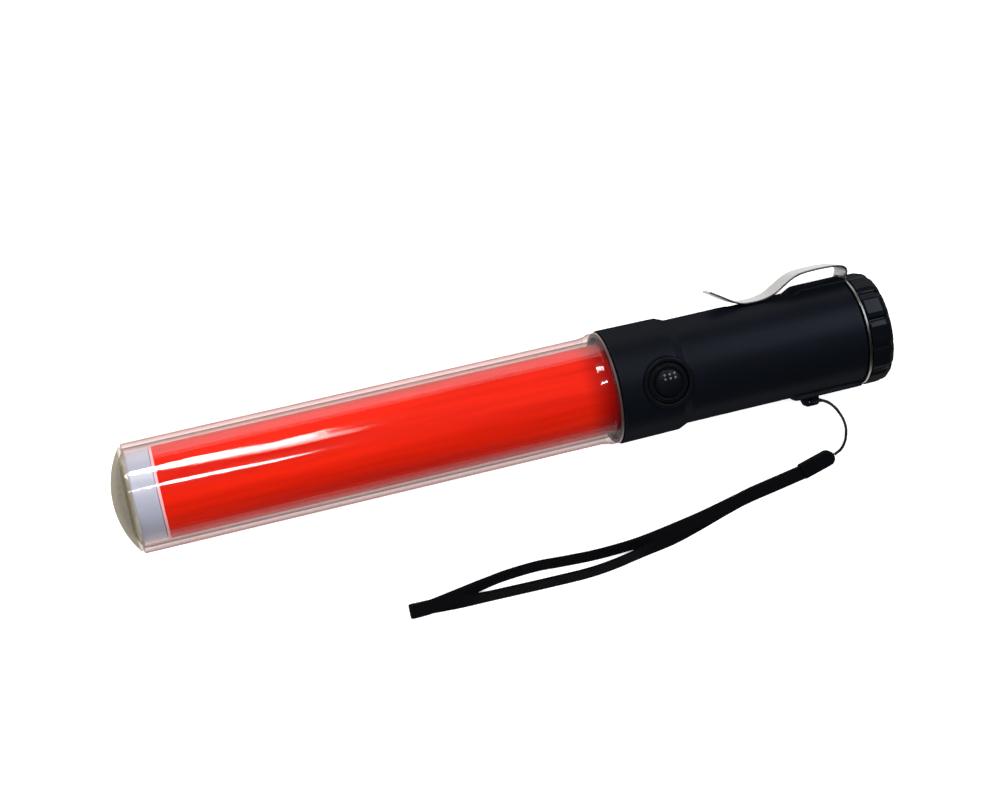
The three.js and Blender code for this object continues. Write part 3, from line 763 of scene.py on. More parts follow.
def through(points: Sequence[Point], steps: int) -> list[Vector]:
    """A smooth line through points.

    Args:
        points: The points it passes.
        steps: Straight pieces between one point and the next.

    Returns:
        The line's points.
    """
    p = [Vector(point) for point in points]
    p = [2 * p[0] - p[1], *p, 2 * p[-1] - p[-2]]
    line = []
    for a, b, c, d in zip(p, p[1:], p[2:], p[3:]):
        for j in range(steps):
            t = j / steps
            bend, twist = 2 * a - 5 * b + 4 * c - d, 3 * b - a - 3 * c + d
            line.append(0.5 * (2 * b + (c - a) * t + bend * t**2 + twist * t**3))
    return [*line, p[-2]]


def meshed(name: str, shape: Shape) -> bpy.types.Mesh:
    """Makes a mesh of a shape.

    Args:
        name: The mesh's name.
        shape: The shape, which is used up.

    Returns:
        The mesh.
    """
    mesh = bpy.data.meshes.new(name)
    shape.to_mesh(mesh)
    shape.free()
    return mesh


def placed(name: str, data: bpy.types.ID) -> bpy.types.Object:
    """Puts data in the scene.

    Args:
        name: The object's name.
        data: A mesh, a curve, a lamp or a camera.

    Returns:
        The object that holds it.
    """
    made = bpy.data.objects.new(name, data)
    bpy.context.scene.collection.objects.link(made)
    return made


def joined(shapes: Sequence[Shape]) -> Shape:
    """Puts several shapes in one.

    Args:
        shapes: The shapes, which are used up.

    Returns:
        One shape with all their faces.
    """
    whole = bmesh.new()
    for shape in shapes:
        part = meshed("part", shape)
        whole.from_mesh(part)
        bpy.data.meshes.remove(part)
    return whole


def carved(shape: Shape, tool: Shape, operation: str = "DIFFERENCE") -> Shape:
    """Cuts a shape with another, or adds the other to it.

    Args:
        shape: The shape to change, which is used up.
        tool: The cutting or added shape, which is used up.
        operation: DIFFERENCE or UNION.

    Returns:
        The carved shape.
    """
    objects = [placed("carving", meshed("carving", made)) for made in (shape, tool)]
    cutter = objects[0].modifiers.new("cut", "BOOLEAN")
    cutter.object = objects[1]
    cutter.operation = operation
    cutter.solver = "EXACT"
    result = bmesh.new()
    result.from_object(objects[0], bpy.context.evaluated_depsgraph_get())
    for made in objects:
        mesh = made.data
        bpy.data.objects.remove(made)
        bpy.data.meshes.remove(mesh)
    bmesh.ops.remove_doubles(result, verts=result.verts, dist=SAME)
    return result


def as_piece(
    name: str,
    shape: Shape,
    finish: Finish,
    stands_for: Sequence[str] = (),
    body: str | None = "root",
    place: Matrix = BATON,
    crease: float = 32.0,
) -> bpy.types.Object:
    """Makes a named piece of a shape.

    Args:
        name: The piece's name.
        shape: The shape in millimetres, which is used up.
        finish: Its finish.
        stands_for: The frame's nodes that it hides.
        body: The body it rides on, or None to leave it on no body.
        place: From the shape's frame to the floor's.
        crease: The least angle, in degrees, of an edge that stays crisp.

    Returns:
        The piece.
    """
    bmesh.ops.transform(shape, matrix=place, verts=shape.verts)
    for face in shape.faces:
        face.smooth = True
    for edge in shape.edges:
        edge.smooth = not edge.is_manifold or edge.calc_face_angle(0) < math.radians(crease)
    mesh = meshed(name, shape)
    piece = placed(name, mesh)
    mesh.materials.append(finish.material)
    even = piece.modifiers.new("even shading", "WEIGHTED_NORMAL")
    even.keep_sharp = True
    if stands_for:
        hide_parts(*stands_for)
    if body:
        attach(piece, body)
    LOG.info("%s: %d faces, %s", name, len(mesh.polygons), finish.material.name)
    return piece


def dress(finish: Finish, *nodes: str) -> None:
    """Gives the frame's own pieces a finish.

    Args:
        finish: The finish.
        *nodes: The pieces' names.
    """
    for name in nodes:
        mesh = frame["nodes"][name].data
        mesh.materials.clear()
        mesh.materials.append(finish.material)
        LOG.info("%s: %s", name, finish.material.name)


# The scene around the baton.


@dataclass
class Lamp:
    """A rectangular studio lamp, in one panel or in four that get dimmer along its length."""

    name: str
    at: Triple
    along: Triple
    size: Pair
    power: float
    colour: str = "#FFFFFF"
    mirrored: bool = True
    lights: bool = True
    fade: float = 0.0

    def build(self, target: Vector) -> None:
        """Makes the lamp, facing a point.

        Args:
            target: The point it faces, in millimetres.
        """
        back = (Vector(self.at) - target).normalized()
        side = Vector(self.along)
        side = (side - back * side.dot(back)).normalized()
        turn = facing(side, back.cross(side), back)
        panels = 4 if self.fade else 1
        length = self.size[0] / panels
        for i in range(panels):
            data = bpy.data.lights.new(f"{self.name}_{i}", "AREA")
            data.shape = "RECTANGLE"
            data.size, data.size_y = length * MM, self.size[1] * MM
            data.energy = self.power * self.fade**i
            data.color = linear(self.colour)[:3]
            lamp = placed(data.name, data)
            lamp.visible_glossy = self.mirrored
            lamp.visible_diffuse = self.lights
            place = Vector(self.at) + side * length * (i - (panels - 1) / 2)
            lamp.matrix_world = Matrix.Translation(place * MM) @ turn


@dataclass
class Studio:
    """The camera, the floor and the light."""

    camera_at: Triple = (-116.75, 107.62, 701.83)
    camera_right: Triple = (0.9607, -0.1992, 0.1933)
    camera_up: Triple = (0.2231, 0.9685, -0.1107)
    lens: float = 68.4
    floor_size: float = 6000.0
    floor_gap: float = 0.1
    lit_point: Triple = (-60, 0, 20)
    sky: Pair = (0.1, 0.02)
    sky_top: float = 0.8
    lamps: tuple[Lamp, ...] = (
        Lamp("long_lamp", (-60, 796, 622), (0.37, -0.56, 0.74), (420, 76), 1.7, fade=0.55),
        Lamp("short_lamp", (-77, 373, 967), (0.63, -0.72, 0.27), (190, 44), 0.55, fade=0.75),
        Lamp("flare_lamp", (-10, 828, 610), (0.21, 0.56, -0.8), (100, 40), 0.4),
        Lamp("side_box", (720, 560, 790), (1, 0, 0), (640, 800), 9.6, "#DDEAFF", lights=False),
        Lamp("ceiling", (-150, 380, 1550), (1, 0, 0), (2000, 2000), 42.0, "#FBFCFF", mirrored=False),
    )

    def build_camera(self) -> None:
        """Places the camera above the baton, as steep as the product is looked at."""
        data = bpy.data.cameras.new("camera")
        data.lens = self.lens
        data.sensor_width = 36.0
        data.clip_start = 0.01
        camera = placed("camera", data)
        right = Vector(self.camera_right).normalized()
        up = Vector(self.camera_up)
        up = (up - right * up.dot(right)).normalized()
        turn = facing(right, up, right.cross(up))
        camera.matrix_world = Matrix.Translation(Vector(self.camera_at) * MM) @ turn
        bpy.context.scene.camera = camera

    def build_floor(self) -> None:
        """Lays a pale floor with a faint unevenness."""
        shape = bmesh.new()
        bmesh.ops.create_grid(shape, x_segments=1, y_segments=1, size=self.floor_size / 2 * MM)
        bmesh.ops.translate(shape, vec=(0, 0, -self.floor_gap * MM), verts=shape.verts)
        floor = placed("floor", meshed("floor", shape))
        floor.data.materials.append(LitTable().material())

    def build_light(self) -> None:
        """Makes a surround that is pale at its sides and dark overhead, and the lamps."""
        world = bpy.data.worlds.new("studio")
        world.use_nodes = True
        tree = world.node_tree
        place = add_node(tree, "TexCoord").outputs["Generated"]
        height = add_node(tree, "SeparateXYZ", {0: place}).outputs["Z"]
        level, top = self.sky
        inputs = {"Value": height, "From Max": self.sky_top, "To Min": level, "To Max": top}
        light = add_node(tree, "MapRange", inputs, interpolation_type="SMOOTHSTEP")
        tree.links.new(light.outputs[0], tree.nodes["Background"].inputs["Strength"])
        tree.nodes["Background"].inputs["Color"].default_value = linear(WHITE)
        bpy.context.scene.world = world
        bpy.context.scene.view_settings.view_transform = "Standard"
        for lamp in self.lamps:
            lamp.build(Vector(self.lit_point))

    def build(self) -> None:
        """Makes all of it."""
        self.build_camera()
        self.build_floor()
        self.build_light()


# The strap.


@dataclass
class WristStrap:
    """A thin cord through the lug, a moulded sleeve and a loop of flat webbing."""

    cord_d: float = 1.1
    sleeve_at: Pair = (120.3, -52.6)
    sleeve_turn: float = 15.0
    sleeve_size: Pair = (14.5, 6.0)
    sleeve_z: Pair = (0.3, 4.1)
    web_width: float = 5.5
    web_thickness: float = 1.1
    web_edge: float = 0.35
    bank: float = 36.0
    bank_from: Pair = (0.28, 0.2)
    bank_to: Pair = (0.93, 0.16)
    bank_lift: float = 0.76
    cord_line: tuple[Triple, ...] = (
        (127.9, -50.4, 3.1), (130.6, -49.1, 3.1), (132.4, -46.6, 3.6), (132.8, -43.0, 5.8),
        (131.5, -38.4, 10.2), (128.2, -32.6, 15.6), (124.0, -27.6, 20.2), (120.4, -24.9, 23.0),
        (117.7, -24.1, 24.4), (115.8, -23.8, 24.1), (115.15, -23.7, 22.6), (115.15, -23.7, 20.6),
        (115.15, -23.7, 18.6), (115.9, -23.8, 17.1), (118.6, -24.4, 16.7), (122.4, -26.1, 16.9),
        (125.4, -28.4, 16.4), (129.1, -33.1, 13.2), (132.2, -38.8, 8.2), (133.4, -43.4, 4.0),
        (133.0, -46.9, 2.0), (131.1, -49.4, 1.6), (128.1, -50.9, 1.6),
    )
    far_strand: tuple[Triple, ...] = (
        (113.8, -54.5, 2.75), (101.6, -56.6, 2.75), (90.8, -58.4, 2.75), (80.0, -60.7, 2.75),
        (69.3, -62.9, 2.7), (58.7, -64.6, 2.4), (48.2, -65.8, 1.9), (37.9, -66.5, 1.2),
        (25.6, -66.8, 0.95), (12.7, -66.2, 0.95), (3.0, -65.6, 0.95), (-9.2, -66.1, 0.95),
        (-19.3, -67.3, 1.4), (-29.6, -69.2, 2.3), (-39.9, -70.8, 2.75), (-47.2, -71.1, 2.75),
    )
    near_strand: tuple[Triple, ...] = (
        (113.8, -54.8, 0.95), (101.5, -56.9, 0.95), (90.8, -58.8, 0.95), (79.9, -61.7, 0.95),
        (68.8, -65.0, 0.95), (58.1, -67.8, 0.95), (47.5, -69.6, 0.95), (40.1, -71.0, 0.95),
        (31.7, -72.3, 0.95), (21.4, -73.1, 0.95), (6.3, -73.0, 0.95), (-8.5, -72.7, 0.95),
        (-20.4, -72.4, 0.95), (-30.3, -71.9, 0.95), (-40.0, -71.3, 0.95), (-47.2, -71.1, 0.95),
    )

    def build_sleeve(self) -> bpy.types.Object:
        """Makes the sleeve, square where the webbing enters and round at the cord.

        Returns:
            The sleeve.
        """
        half, wide = self.sleeve_size[0] / 2, self.sleeve_size[1] / 2
        nose = wide - 0.2
        corners = [(-half, -wide, 0.5), (half, -wide, nose), (half, wide, nose), (-half, wide, 0.5)]
        shape = softened(plate(rounded(corners, True, 8), *self.sleeve_z), 0.7, 60)
        turn = Matrix.Rotation(math.radians(self.sleeve_turn), 4, "Z")
        turn = Matrix.Translation((*self.sleeve_at, 0)) @ turn
        return as_piece("moulded_sleeve", shape, Finish.SLEEVE, ["strap_sleeve"], place=FLOOR @ turn)

    def build_cord(self) -> None:
        """Lays the cord from the sleeve, through the lug's hole and back.
        """
        data = bpy.data.curves.new("lanyard_cord", "CURVE")
        data.dimensions = "3D"
        data.bevel_depth = self.cord_d / 2 * MM
        data.bevel_resolution = 3
        data.resolution_u = 8
        data.use_fill_caps = True
        spline = data.splines.new("BEZIER")
        spline.bezier_points.add(len(self.cord_line) - 1)
        for knot, place in zip(spline.bezier_points, self.cord_line):
            knot.co = Vector(place) * MM
            knot.handle_left_type = knot.handle_right_type = "AUTO"
        cord = placed("lanyard_cord", data)
        data.materials.append(Finish.CORD.material)
        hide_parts("strap_cord")
        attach(cord, "root")

    def banked(self, share: float) -> float:
        """How far a strand leans at a share of the way to the fold, in radians."""
        (start, rise), (end, fall) = self.bank_from, self.bank_to
        return math.radians(self.bank) * smooth((share - start) / rise) * smooth((end - share) / fall)

    def build_webbing(self) -> None:
        """Lays the webbing from the sleeve, along one strand to the fold and back along the other.
        """
        far, near = through(self.far_strand, 5), through(self.near_strand, 5)
        low, high = near[-1], far[-1]
        reach = (high.z - low.z) / 2
        middle = Vector((low.x, low.y, low.z + reach))
        angles = [math.pi * k / 8 for k in range(1, 8)]
        turn = [middle + Vector((-reach * math.sin(a), 0, reach * math.cos(a))) for a in angles]
        leans = [self.banked(i / (len(far) - 1)) for i in range(len(far))] + [0.0] * len(turn)
        leans += [-self.banked(1 - i / (len(near) - 1)) for i in range(len(near))]
        line = far + turn + near[::-1]
        for i, lean in enumerate(leans):
            line[i] = line[i] + Vector((0, 0, self.bank_lift * self.web_width / 2 * abs(math.sin(lean))))
        section = flat_section(self.web_width, self.web_thickness, self.web_edge)
        stations = []
        side = -1
        for i, place in enumerate(line):
            along = heading(line, i)
            level = Vector((0, 0, 1)).cross(along)
            if i > len(far) and level.y * side < 0:
                level = -level
            level = level.normalized() if level.length > 0.2 else Vector((0, side, 0))
            side = 1 if level.y > 0 else -1
            across = Matrix.Rotation(leans[i] * side, 3, along) @ level
            thick = along.cross(across)
            stations.append([place + across * p[0] + thick * p[1] for p in section])
        run = running(line)
        shape = swept(stations)
        self.map_weave(shape, stations, run)
        webbing = as_piece("webbing_loop", shape, Finish.WEBBING, ["strap_webbing"], place=FLOOR)
        LOG.info("webbing_loop: %.1f mm long", run[-1])

    def map_weave(self, shape: Shape, stations: Sequence[Sequence[Vector]], run: Sequence[float]) -> None:
        """Gives the webbing a UV map in millimetres, along and round it.

        Args:
            shape: The swept webbing.
            stations: Its section's corners at each station.
            run: The webbing's length up to each station.
        """
        places = {}
        for travelled, station in zip(run, stations):
            for point, girth in zip(station, running(station)):
                places[tuple(round(c, 3) for c in point)] = (travelled, girth)
        layer = shape.loops.layers.uv.new("Weave")
        for face in shape.faces:
            for loop in face.loops:
                loop[layer].uv = places.get(tuple(round(c, 3) for c in loop.vert.co), (0.0, 0.0))

    def build(self) -> None:
        """Makes the strap."""
        sleeve = self.build_sleeve()
        self.build_cord()
        self.build_webbing()


# The tube end.


@dataclass
class LightTube:
    """The clear tube with its lens, its reflector and the rolled film."""

    tube_r: float = 20.0
    bore_r: float = 18.2
    flare_x: float = 170.5
    flange_x: Pair = (174.2, 176.0)
    flange_r: float = 20.9
    spigot_r: float = 19.2
    spigot_end: float = 185.8
    film_r: float = 16.85
    film_x: Pair = (9.7, 177.0)
    film_wall: float = 0.25
    seam_at: float = -55.0
    overlap: float = 14.0
    tuck: float = 0.3
    hem_x: Pair = (-0.35, 0.65)
    hem_r: Pair = (16.2, 17.05)
    lens_apex: float = -7.0
    lens_dome_r: float = 33.1
    lens_rim_r: float = 19.0
    lens_wall: float = 1.8
    plug_r: Pair = (17.9, 16.9)
    plug_end: float = 0.5
    step_x: Pair = (-1.35, -0.3)
    step_r: float = 18.05
    cup_x: Pair = (0.6, 9.2)
    cup_r: float = 16.4
    cup_mouth: float = 15.6
    cup_throat: float = 3.6
    cup_floor: float = 7.0
    cup_wall: float = 0.9
    cup_back_r: Pair = (15.5, 15.2)
    cup_lip: float = 0.3
    emitter_base: float = 8.0
    emitter_r: float = 2.3
    emitter_skirt: Pair = (0.8, 2.5)
    emitter_body: float = 1.8
    gasket_x: Pair = (176.3, 177.2)
    gasket_r: Pair = (21.0, 19.5)

    def build_tube(self) -> None:
        """Turns the tube with its flare, flange and spigot."""
        front, back = self.flange_x
        corners = [
            (0, self.bore_r, 0.25),
            (0, self.tube_r, 0.45),
            (self.flare_x, self.tube_r, 6.0),
            (front - 0.3, self.flange_r - 0.35, 0.8),
            (front, self.flange_r, 0.2),
            (back, self.flange_r, 0.25),
            (back, self.spigot_r),
            (self.spigot_end, self.spigot_r, 0.3),
            (self.spigot_end, self.bore_r, 0.2),
        ]
        as_piece("clear_tube", turned_ring(corners, 160), Finish.TUBE, ["outer_tube"])

    def build_lens(self) -> None:
        """Turns the domed lens, with the step of its rim and its plug."""
        rim, (front, back) = self.lens_rim_r, self.step_x
        out, bore = self.plug_r
        outside = self.lens_dome(self.lens_dome_r, rim - 1.0, 24)
        inside = self.lens_dome(self.lens_dome_r - self.lens_wall, bore, 20)[::-1]
        corners = [(front, self.step_r, 0.15), (front, rim, 0.3), (back, rim, 0.15), (back, out)]
        corners += [(self.plug_end, out, 0.2), (self.plug_end, bore, 0.2)]
        edge = rounded([outside[-1], *corners, inside[0]])
        shape = turned(outside + edge[1:-1] + inside, 128, False)
        as_piece("domed_lens", shape, Finish.LENS, ["front_lens"])

    def lens_dome(self, radius: float, edge: float, steps: int) -> list[Pair]:
        """A face of the lens's dome, from its middle out.

        Args:
            radius: The face's radius.
            edge: How far out it goes.
            steps: Straight pieces in it.

        Returns:
            Points along the baton and out from its axis.
        """
        centre = self.lens_apex + self.lens_dome_r
        return [(centre - math.sqrt(radius**2 - r**2), r) for r in spread(0.0, edge, steps)]

    def build_cup(self) -> None:
        """Turns the plated reflector, a deep bowl with a rolled lip."""
        (front, back), r = self.cup_x, self.cup_r
        mouth, throat, floor, wall = self.cup_mouth, self.cup_throat, self.cup_floor, self.cup_wall
        skirt, under_r = self.cup_back_r
        depth = (floor - front - self.cup_lip) / (mouth**2 - throat**2)
        bowl = [(floor - depth * (out**2 - throat**2), out) for out in spread(throat, mouth, 18)]
        under = [(floor + wall - depth * (out**2 - throat**2), out) for out in spread(under_r, throat, 18)]
        lip = [(front, r - 0.2, 0.15), (front + 0.4, r, 0.15), (back, r, 0.2), (back, skirt, 0.2)]
        edge = rounded([bowl[-1], *lip, under[0]])
        as_piece("plated_reflector", turned(bowl + edge[1:-1] + under), Finish.CUP, ["reflector_cup"])

    def build_emitter(self) -> None:
        """Turns the tip's emitter: a skirt, a body and a dome."""
        base, r = self.emitter_base, self.emitter_r
        skirt, skirt_r = base - self.emitter_skirt[0], self.emitter_skirt[1]
        body = base - self.emitter_body
        dome = [(body - r * math.sin(a), r * math.cos(a)) for a in spread(0.0, math.pi / 2, 10)]
        outline = [(base, 0), (base, skirt_r), (skirt, skirt_r), (skirt, r), *dome[:-1]]
        outline.append((dome[-1][0], 0))
        as_piece("tip_emitter", turned(outline, 48, False), Finish.TIP, ["tip_led"])

    def build_film(self) -> None:
        """Rolls the film, with its overlapped seam, and adds the pale hem at its front end."""
        section = self.roll(0.0) + self.roll(self.film_wall)[::-1]
        stations = [[Vector((x, y, z)) for y, z in section] for x in spread(*self.film_x, 12)]
        as_piece("rolled_film", swept(stations), Finish.FILM, ["filter_film"])
        start, end = (self.film_x[0] + x for x in self.hem_x)
        low, high = self.hem_r
        hem = turned_ring([(start, low), (start, high, 0.1), (end, high, 0.1), (end, low)])
        as_piece("film_hem", hem, Finish.HEM)

    def roll(self, inset: float) -> list[Pair]:
        """Rolls one face of the film.

        Args:
            inset: How far it lies inside the film's outer face.

        Returns:
            Points across the baton, from the edge that is tucked in to the edge on top.
        """
        sweep = 2 * math.pi + math.radians(self.overlap)
        points = []
        for share in spread(0.0, 1.0, 200):
            r = self.film_r - inset - self.tuck * (1 - share)
            a = math.radians(self.seam_at) + sweep * share
            points.append((r * math.sin(a), r * math.cos(a)))
        return points

    def build_gasket(self) -> None:
        """Turns the gasket between the flange and the handle."""
        (front, back), (out, bore) = self.gasket_x, self.gasket_r
        corners = [(front, bore, 0.2), (front, out, 0.3), (back, out, 0.3), (back, bore, 0.2)]
        as_piece("vinyl_gasket", turned_ring(corners), Finish.GASKET, ["tube_gasket"])

    def build(self) -> None:
        """Makes the tube end."""
        self.build_tube()
        self.build_lens()
        self.build_cup()
        self.build_emitter()
        self.build_film()
        self.build_gasket()
        dress(Finish.BOARD, "tip_board", "led_strip_board")
        dress(Finish.HOLDER, "lamp_holder")
        dress(Finish.BASE, "light_base")
        dress(Finish.RED, *(f"red_led_{i + 1}" for i in range(6)))


# The handle.


@dataclass
class Handle:
    """The handle's body with its pads and its lug, and what it holds."""

    collar_x: Pair = (177.5, 200.2)
    collar_r: Pair = (21.5, 21.25)
    socket_r: float = 19.5
    socket_end: float = 186.4
    grip_x: float = 203.9
    rings_x: Pair = (206.0, 270.5)
    grip_r: float = 19.7
    end_x: float = 273.4
    bore_r: float = 17.1
    thread_r: float = 17.4
    thread_x: float = 264.5
    wall_x: Pair = (203.2, 205.2)
    wire_r: float = 4.2
    well_r: float = 8.0
    boss_r: float = 9.7
    boss_z: float = 20.4
    boss_foot: float = 10.0
    above: float = 27.0
    flat_x: Pair = (228.0, 248.0)
    flat_y: float = 18.9
    flat_ease: float = 2.5
    lug_half: float = 2.0
    lug_hole_r: float = 1.2
    lug_hole_at: Pair = (254.2, -22.45)
    lug_corners: tuple[tuple[float, ...], ...] = (
        (249.6, -19.0), (251.4, -23.8, 1.0), (252.0, -24.5, 0.8), (257.2, -24.5, 1.4), (257.2, -19.0),
    )

    def build_shell(self) -> Shape:
        """Turns the body, presses the clip's flat into it and cuts the button's well.

        Returns:
            The body's shape.
        """
        grip = [(x, self.grip_r) for x in spread(*self.rings_x, 43)]
        collar, taper = self.collar_x
        wall, cells = self.wall_x
        corners = [
            (collar, self.socket_r, 0.2),
            (collar, self.collar_r[0], 0.6),
            (taper, self.collar_r[1], 0.9),
            (self.grip_x, self.grip_r, 1.2),
            *grip,
            (self.end_x, self.grip_r, 0.4),
            (self.end_x, self.thread_r, 0.2),
            (self.thread_x, self.thread_r),
            (self.thread_x - 0.5, self.bore_r),
            (cells, self.bore_r),
            (cells, self.wire_r, 0.3),
            (wall, self.wire_r, 0.3),
            (wall, self.bore_r),
            (self.socket_end, self.bore_r),
            (self.socket_end, self.socket_r),
        ]
        shape = turned_ring(corners, 144)
        front, back = self.flat_x
        for vert in shape.verts:
            x, y = vert.co[:2]
            if y > self.flat_y and front < x < back:
                press = smooth((x - front) / self.flat_ease) * smooth((back - x) / self.flat_ease)
                vert.co.y -= (y - self.flat_y) * press
        boss = stood(rod(self.boss_foot, self.boss_z, self.boss_r, 96), BUTTON_X)
        shape = carved(shape, boss, "UNION")
        well = stood(rod(self.boss_z, self.above, self.boss_r + 0.05, 96), BUTTON_X)
        hole = stood(rod(self.boss_foot - 1, self.above, self.well_r, 96), BUTTON_X)
        bore = rod(self.socket_end + 0.6, wall - 0.2, self.bore_r, 144)
        for tool in (well, hole, bore):
            shape = carved(shape, tool)
        return shape

    def build_pad(self, x: float, ramp_end: float, r: float, half: float, up: bool) -> Shape:
        """Turns part of a ring: a raised pad along the grip's end.

        Args:
            x: Where its ramp starts.
            ramp_end: Where it is full height.
            r: Its radius.
            half: Half its width.
            up: Whether it is on the clip's side.

        Returns:
            The pad's shape.
        """
        shape = bmesh.new()
        inside = self.grip_r - 0.8
        ring = [(x, inside), (x, self.grip_r - 0.1), (ramp_end, r), (self.end_x, r), (self.end_x, inside)]
        sweep = 2 * math.asin(half / r)
        side = 1 if up else -1
        face = shape.faces.new([shape.verts.new((px, side * pr, 0)) for px, pr in ring])
        bmesh.ops.rotate(shape, cent=ORIGIN, matrix=Matrix.Rotation(-sweep / 2, 3, "X"), verts=shape.verts)
        bmesh.ops.spin(shape, geom=[face], cent=ORIGIN, axis=X_AXIS, angle=sweep, steps=16)
        bmesh.ops.recalc_face_normals(shape, faces=shape.faces)
        return softened(shape, 0.35, 25)

    def build_lug(self) -> Shape:
        """Makes the lug: a plate with a round hole for the cord.

        Returns:
            The lug's shape.
        """
        lug = plate(rounded(self.lug_corners, True), -self.lug_half, self.lug_half)
        hole = stood(rod(-4, 4, self.lug_hole_r, 32), *self.lug_hole_at)
        return softened(carved(lug, hole), 0.3, 50)

    def build(self) -> None:
        """Makes the handle and dresses what is inside it."""
        pads = [
            self.build_pad(251.5, 255.5, 21.5, 7.2, True),
            self.build_pad(246.0, 247.8, 21.3, 6.5, False),
        ]
        shape = joined([self.build_shell(), *pads, self.build_lug()])
        as_piece("moulded_handle", shape, Finish.HANDLE, ["handle_body"], crease=28.0)
        dress(Finish.CARRIER, "battery_carrier")
        dress(Finish.BRASS, "front_terminal", "carrier_front_contact", "carrier_rear_contact")
        dress(Finish.CELL, "cell_1", "cell_2", "cell_3")
        dress(Finish.SPRING, "cell_spring_1", "cell_spring_2", "cell_spring_3")
        dress(Finish.RED_WIRE, "lead_red")
        dress(Finish.BLACK_WIRE, "lead_black")


@dataclass
class PushButton:
    """The bezel, and the button with its dome and raised dots."""

    bezel_r: float = 9.4
    bezel_bore: float = 7.75
    bezel_z: Pair = (20.7, 21.9)
    rim_r: float = 7.4
    dome_r: float = 5.3
    dome_z: Pair = (21.5, 23.2)
    foot_z: float = 18.4
    rim_z: float = 21.1
    ring_r: Triple = (6.7, 6.4, 5.8)
    groove_z: float = 20.9
    groove_r: Pair = (5.6, 5.35)
    dot_r: float = 0.5
    dot_sink: float = 0.12
    dots_at: Pair = (0.5, 2.4)
    dot_pitch: Pair = (1.9, 1.5)

    def dome_height(self, r: float) -> float:
        """The height of the dome at a distance from its middle."""
        low, high = self.dome_z
        return low + (high - low) * math.sqrt(max(0.0, 1 - (r / self.dome_r) ** 2))

    def build_bezel(self) -> None:
        """Turns the raised ring round the button."""
        low, high = self.bezel_z
        out, bore = self.bezel_r, self.bezel_bore
        ring = turned_ring([(low, bore), (low, out, 0.2), (high, out, 0.6), (high, bore, 0.35)], 112)
        as_piece("bezel_ring", stood(ring, BUTTON_X), Finish.BEZEL, ["button_bezel"])

    def build_button(self) -> None:
        """Turns the button: a flat rim, an inner ring, a groove and a low dome with two rows of dots."""
        dome = [(self.dome_height(r), r) for r in spread(self.dome_r, 0.0, 18)[1:]]
        foot, low, high, deep = self.foot_z, self.rim_z, self.dome_z[0], self.groove_z
        (ring_foot, ring_out, ring_in), (groove_out, groove_in) = self.ring_r, self.groove_r
        rim = [(foot, 0), (foot, self.rim_r, 0.2), (low, self.rim_r, 0.3), (low, ring_foot, 0.15)]
        ring = [(high, ring_out, 0.2), (high, ring_in, 0.2), (deep, groove_out, 0.1)]
        ring += [(deep, groove_in, 0.1), (high, self.dome_r)]
        button = stood(turned(rounded(rim + ring) + dome, 112, False), BUTTON_X)
        as_piece("rubber_button", button, Finish.RUBBER, ["push_button"], body="button")
        dots = []
        for column in (-1, 0, 1):
            for row in (-0.5, 0.5):
                x = column * self.dot_pitch[0] + self.dots_at[0]
                y = row * self.dot_pitch[1] + self.dots_at[1]
                dot = bmesh.new()
                bmesh.ops.create_uvsphere(dot, u_segments=16, v_segments=8, radius=self.dot_r)
                place = (BUTTON_X + x, y, self.dome_height(math.hypot(x, y)) - self.dot_sink)
                bmesh.ops.translate(dot, vec=place, verts=dot.verts)
                dots.append(dot)
        as_piece("button_dots", joined(dots), Finish.DOTS, body="button")

    def build(self) -> None:
        """Makes the button and dresses the switch under it."""
        self.build_bezel()
        self.build_button()
        dress(Finish.SWITCH, "switch_plunger", "switch_housing")
        dress(Finish.GREEN, "switch_board")


# The tail.


@dataclass
class BeltClip:
    """One pressed strip of spring steel: a ring under the cap, and a strip that runs along the grip."""

    ring_x: Pair = (273.7, 274.6)
    ring_r: float = 20.6
    ring_bore: float = 17.6
    tab_y: Pair = (18.6, 21.3)
    width: float = 12.0
    thickness: float = 0.8
    edge: float = 0.22
    tip_length: float = 4.0
    tip_round: float = 1.6
    bends_x: Pair = (275.4, 262.0)
    line: tuple[Pair, ...] = (
        (274.15, 21.5), (274.9, 22.5), (275.2, 23.6), (274.6, 25.0), (272.3, 25.95), (268.0, 26.4),
        (262.5, 26.5), (257.5, 26.2), (253.6, 25.1), (249.6, 23.0), (245.4, 20.8), (241.0, 19.75),
        (236.5, 19.65), (233.0, 20.05), (229.5, 21.6), (225.6, 24.1), (221.8, 26.6),
    )

    def build_ring(self) -> None:
        """Turns the ring and adds the tab that the strip grows from."""
        front, back = self.ring_x
        out, bore = self.ring_r, self.ring_bore
        ring = turned_ring([(front, bore, 0.1), (front, out, 0.2), (back, out, 0.2), (back, bore, 0.1)], 144)
        half = self.width / 2
        low, high = self.tab_y
        corners = [(front, low, -half), (front, low, half), (front, high, half), (front, high, -half)]
        tab = block(corners, (back - front, 0, 0))
        as_piece("steel_ring", joined([ring, softened(tab, 0.15)]), Finish.CLIP, ["clip_ring"])

    def build_strip(self) -> None:
        """Sweeps the strip along its line, with a rounded free end, and bakes its place into its mesh, on no
        body.
        """
        line = through([(x, y, 0) for x, y in self.line], 6)
        run = running(line)
        stations = []
        for i, place in enumerate(line):
            along = heading(line, i)
            out = Vector((along.y, -along.x, 0))
            left = min((run[-1] - run[i]) / self.tip_length, 1.0)
            narrowed = self.tip_round * (1 - math.sqrt(1 - (1 - left) ** 2))
            section = flat_section(self.width - 2 * narrowed, self.thickness, self.edge)
            stations.append([place + Vector((0, 0, 1)) * p[0] + out * p[1] for p in section])
        strip = as_piece("steel_strip", swept(stations), Finish.CLIP, ["clip_spring"], body=None)
        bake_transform(strip)

    def build(self) -> None:
        """Makes the clip."""
        self.build_ring()
        self.build_strip()


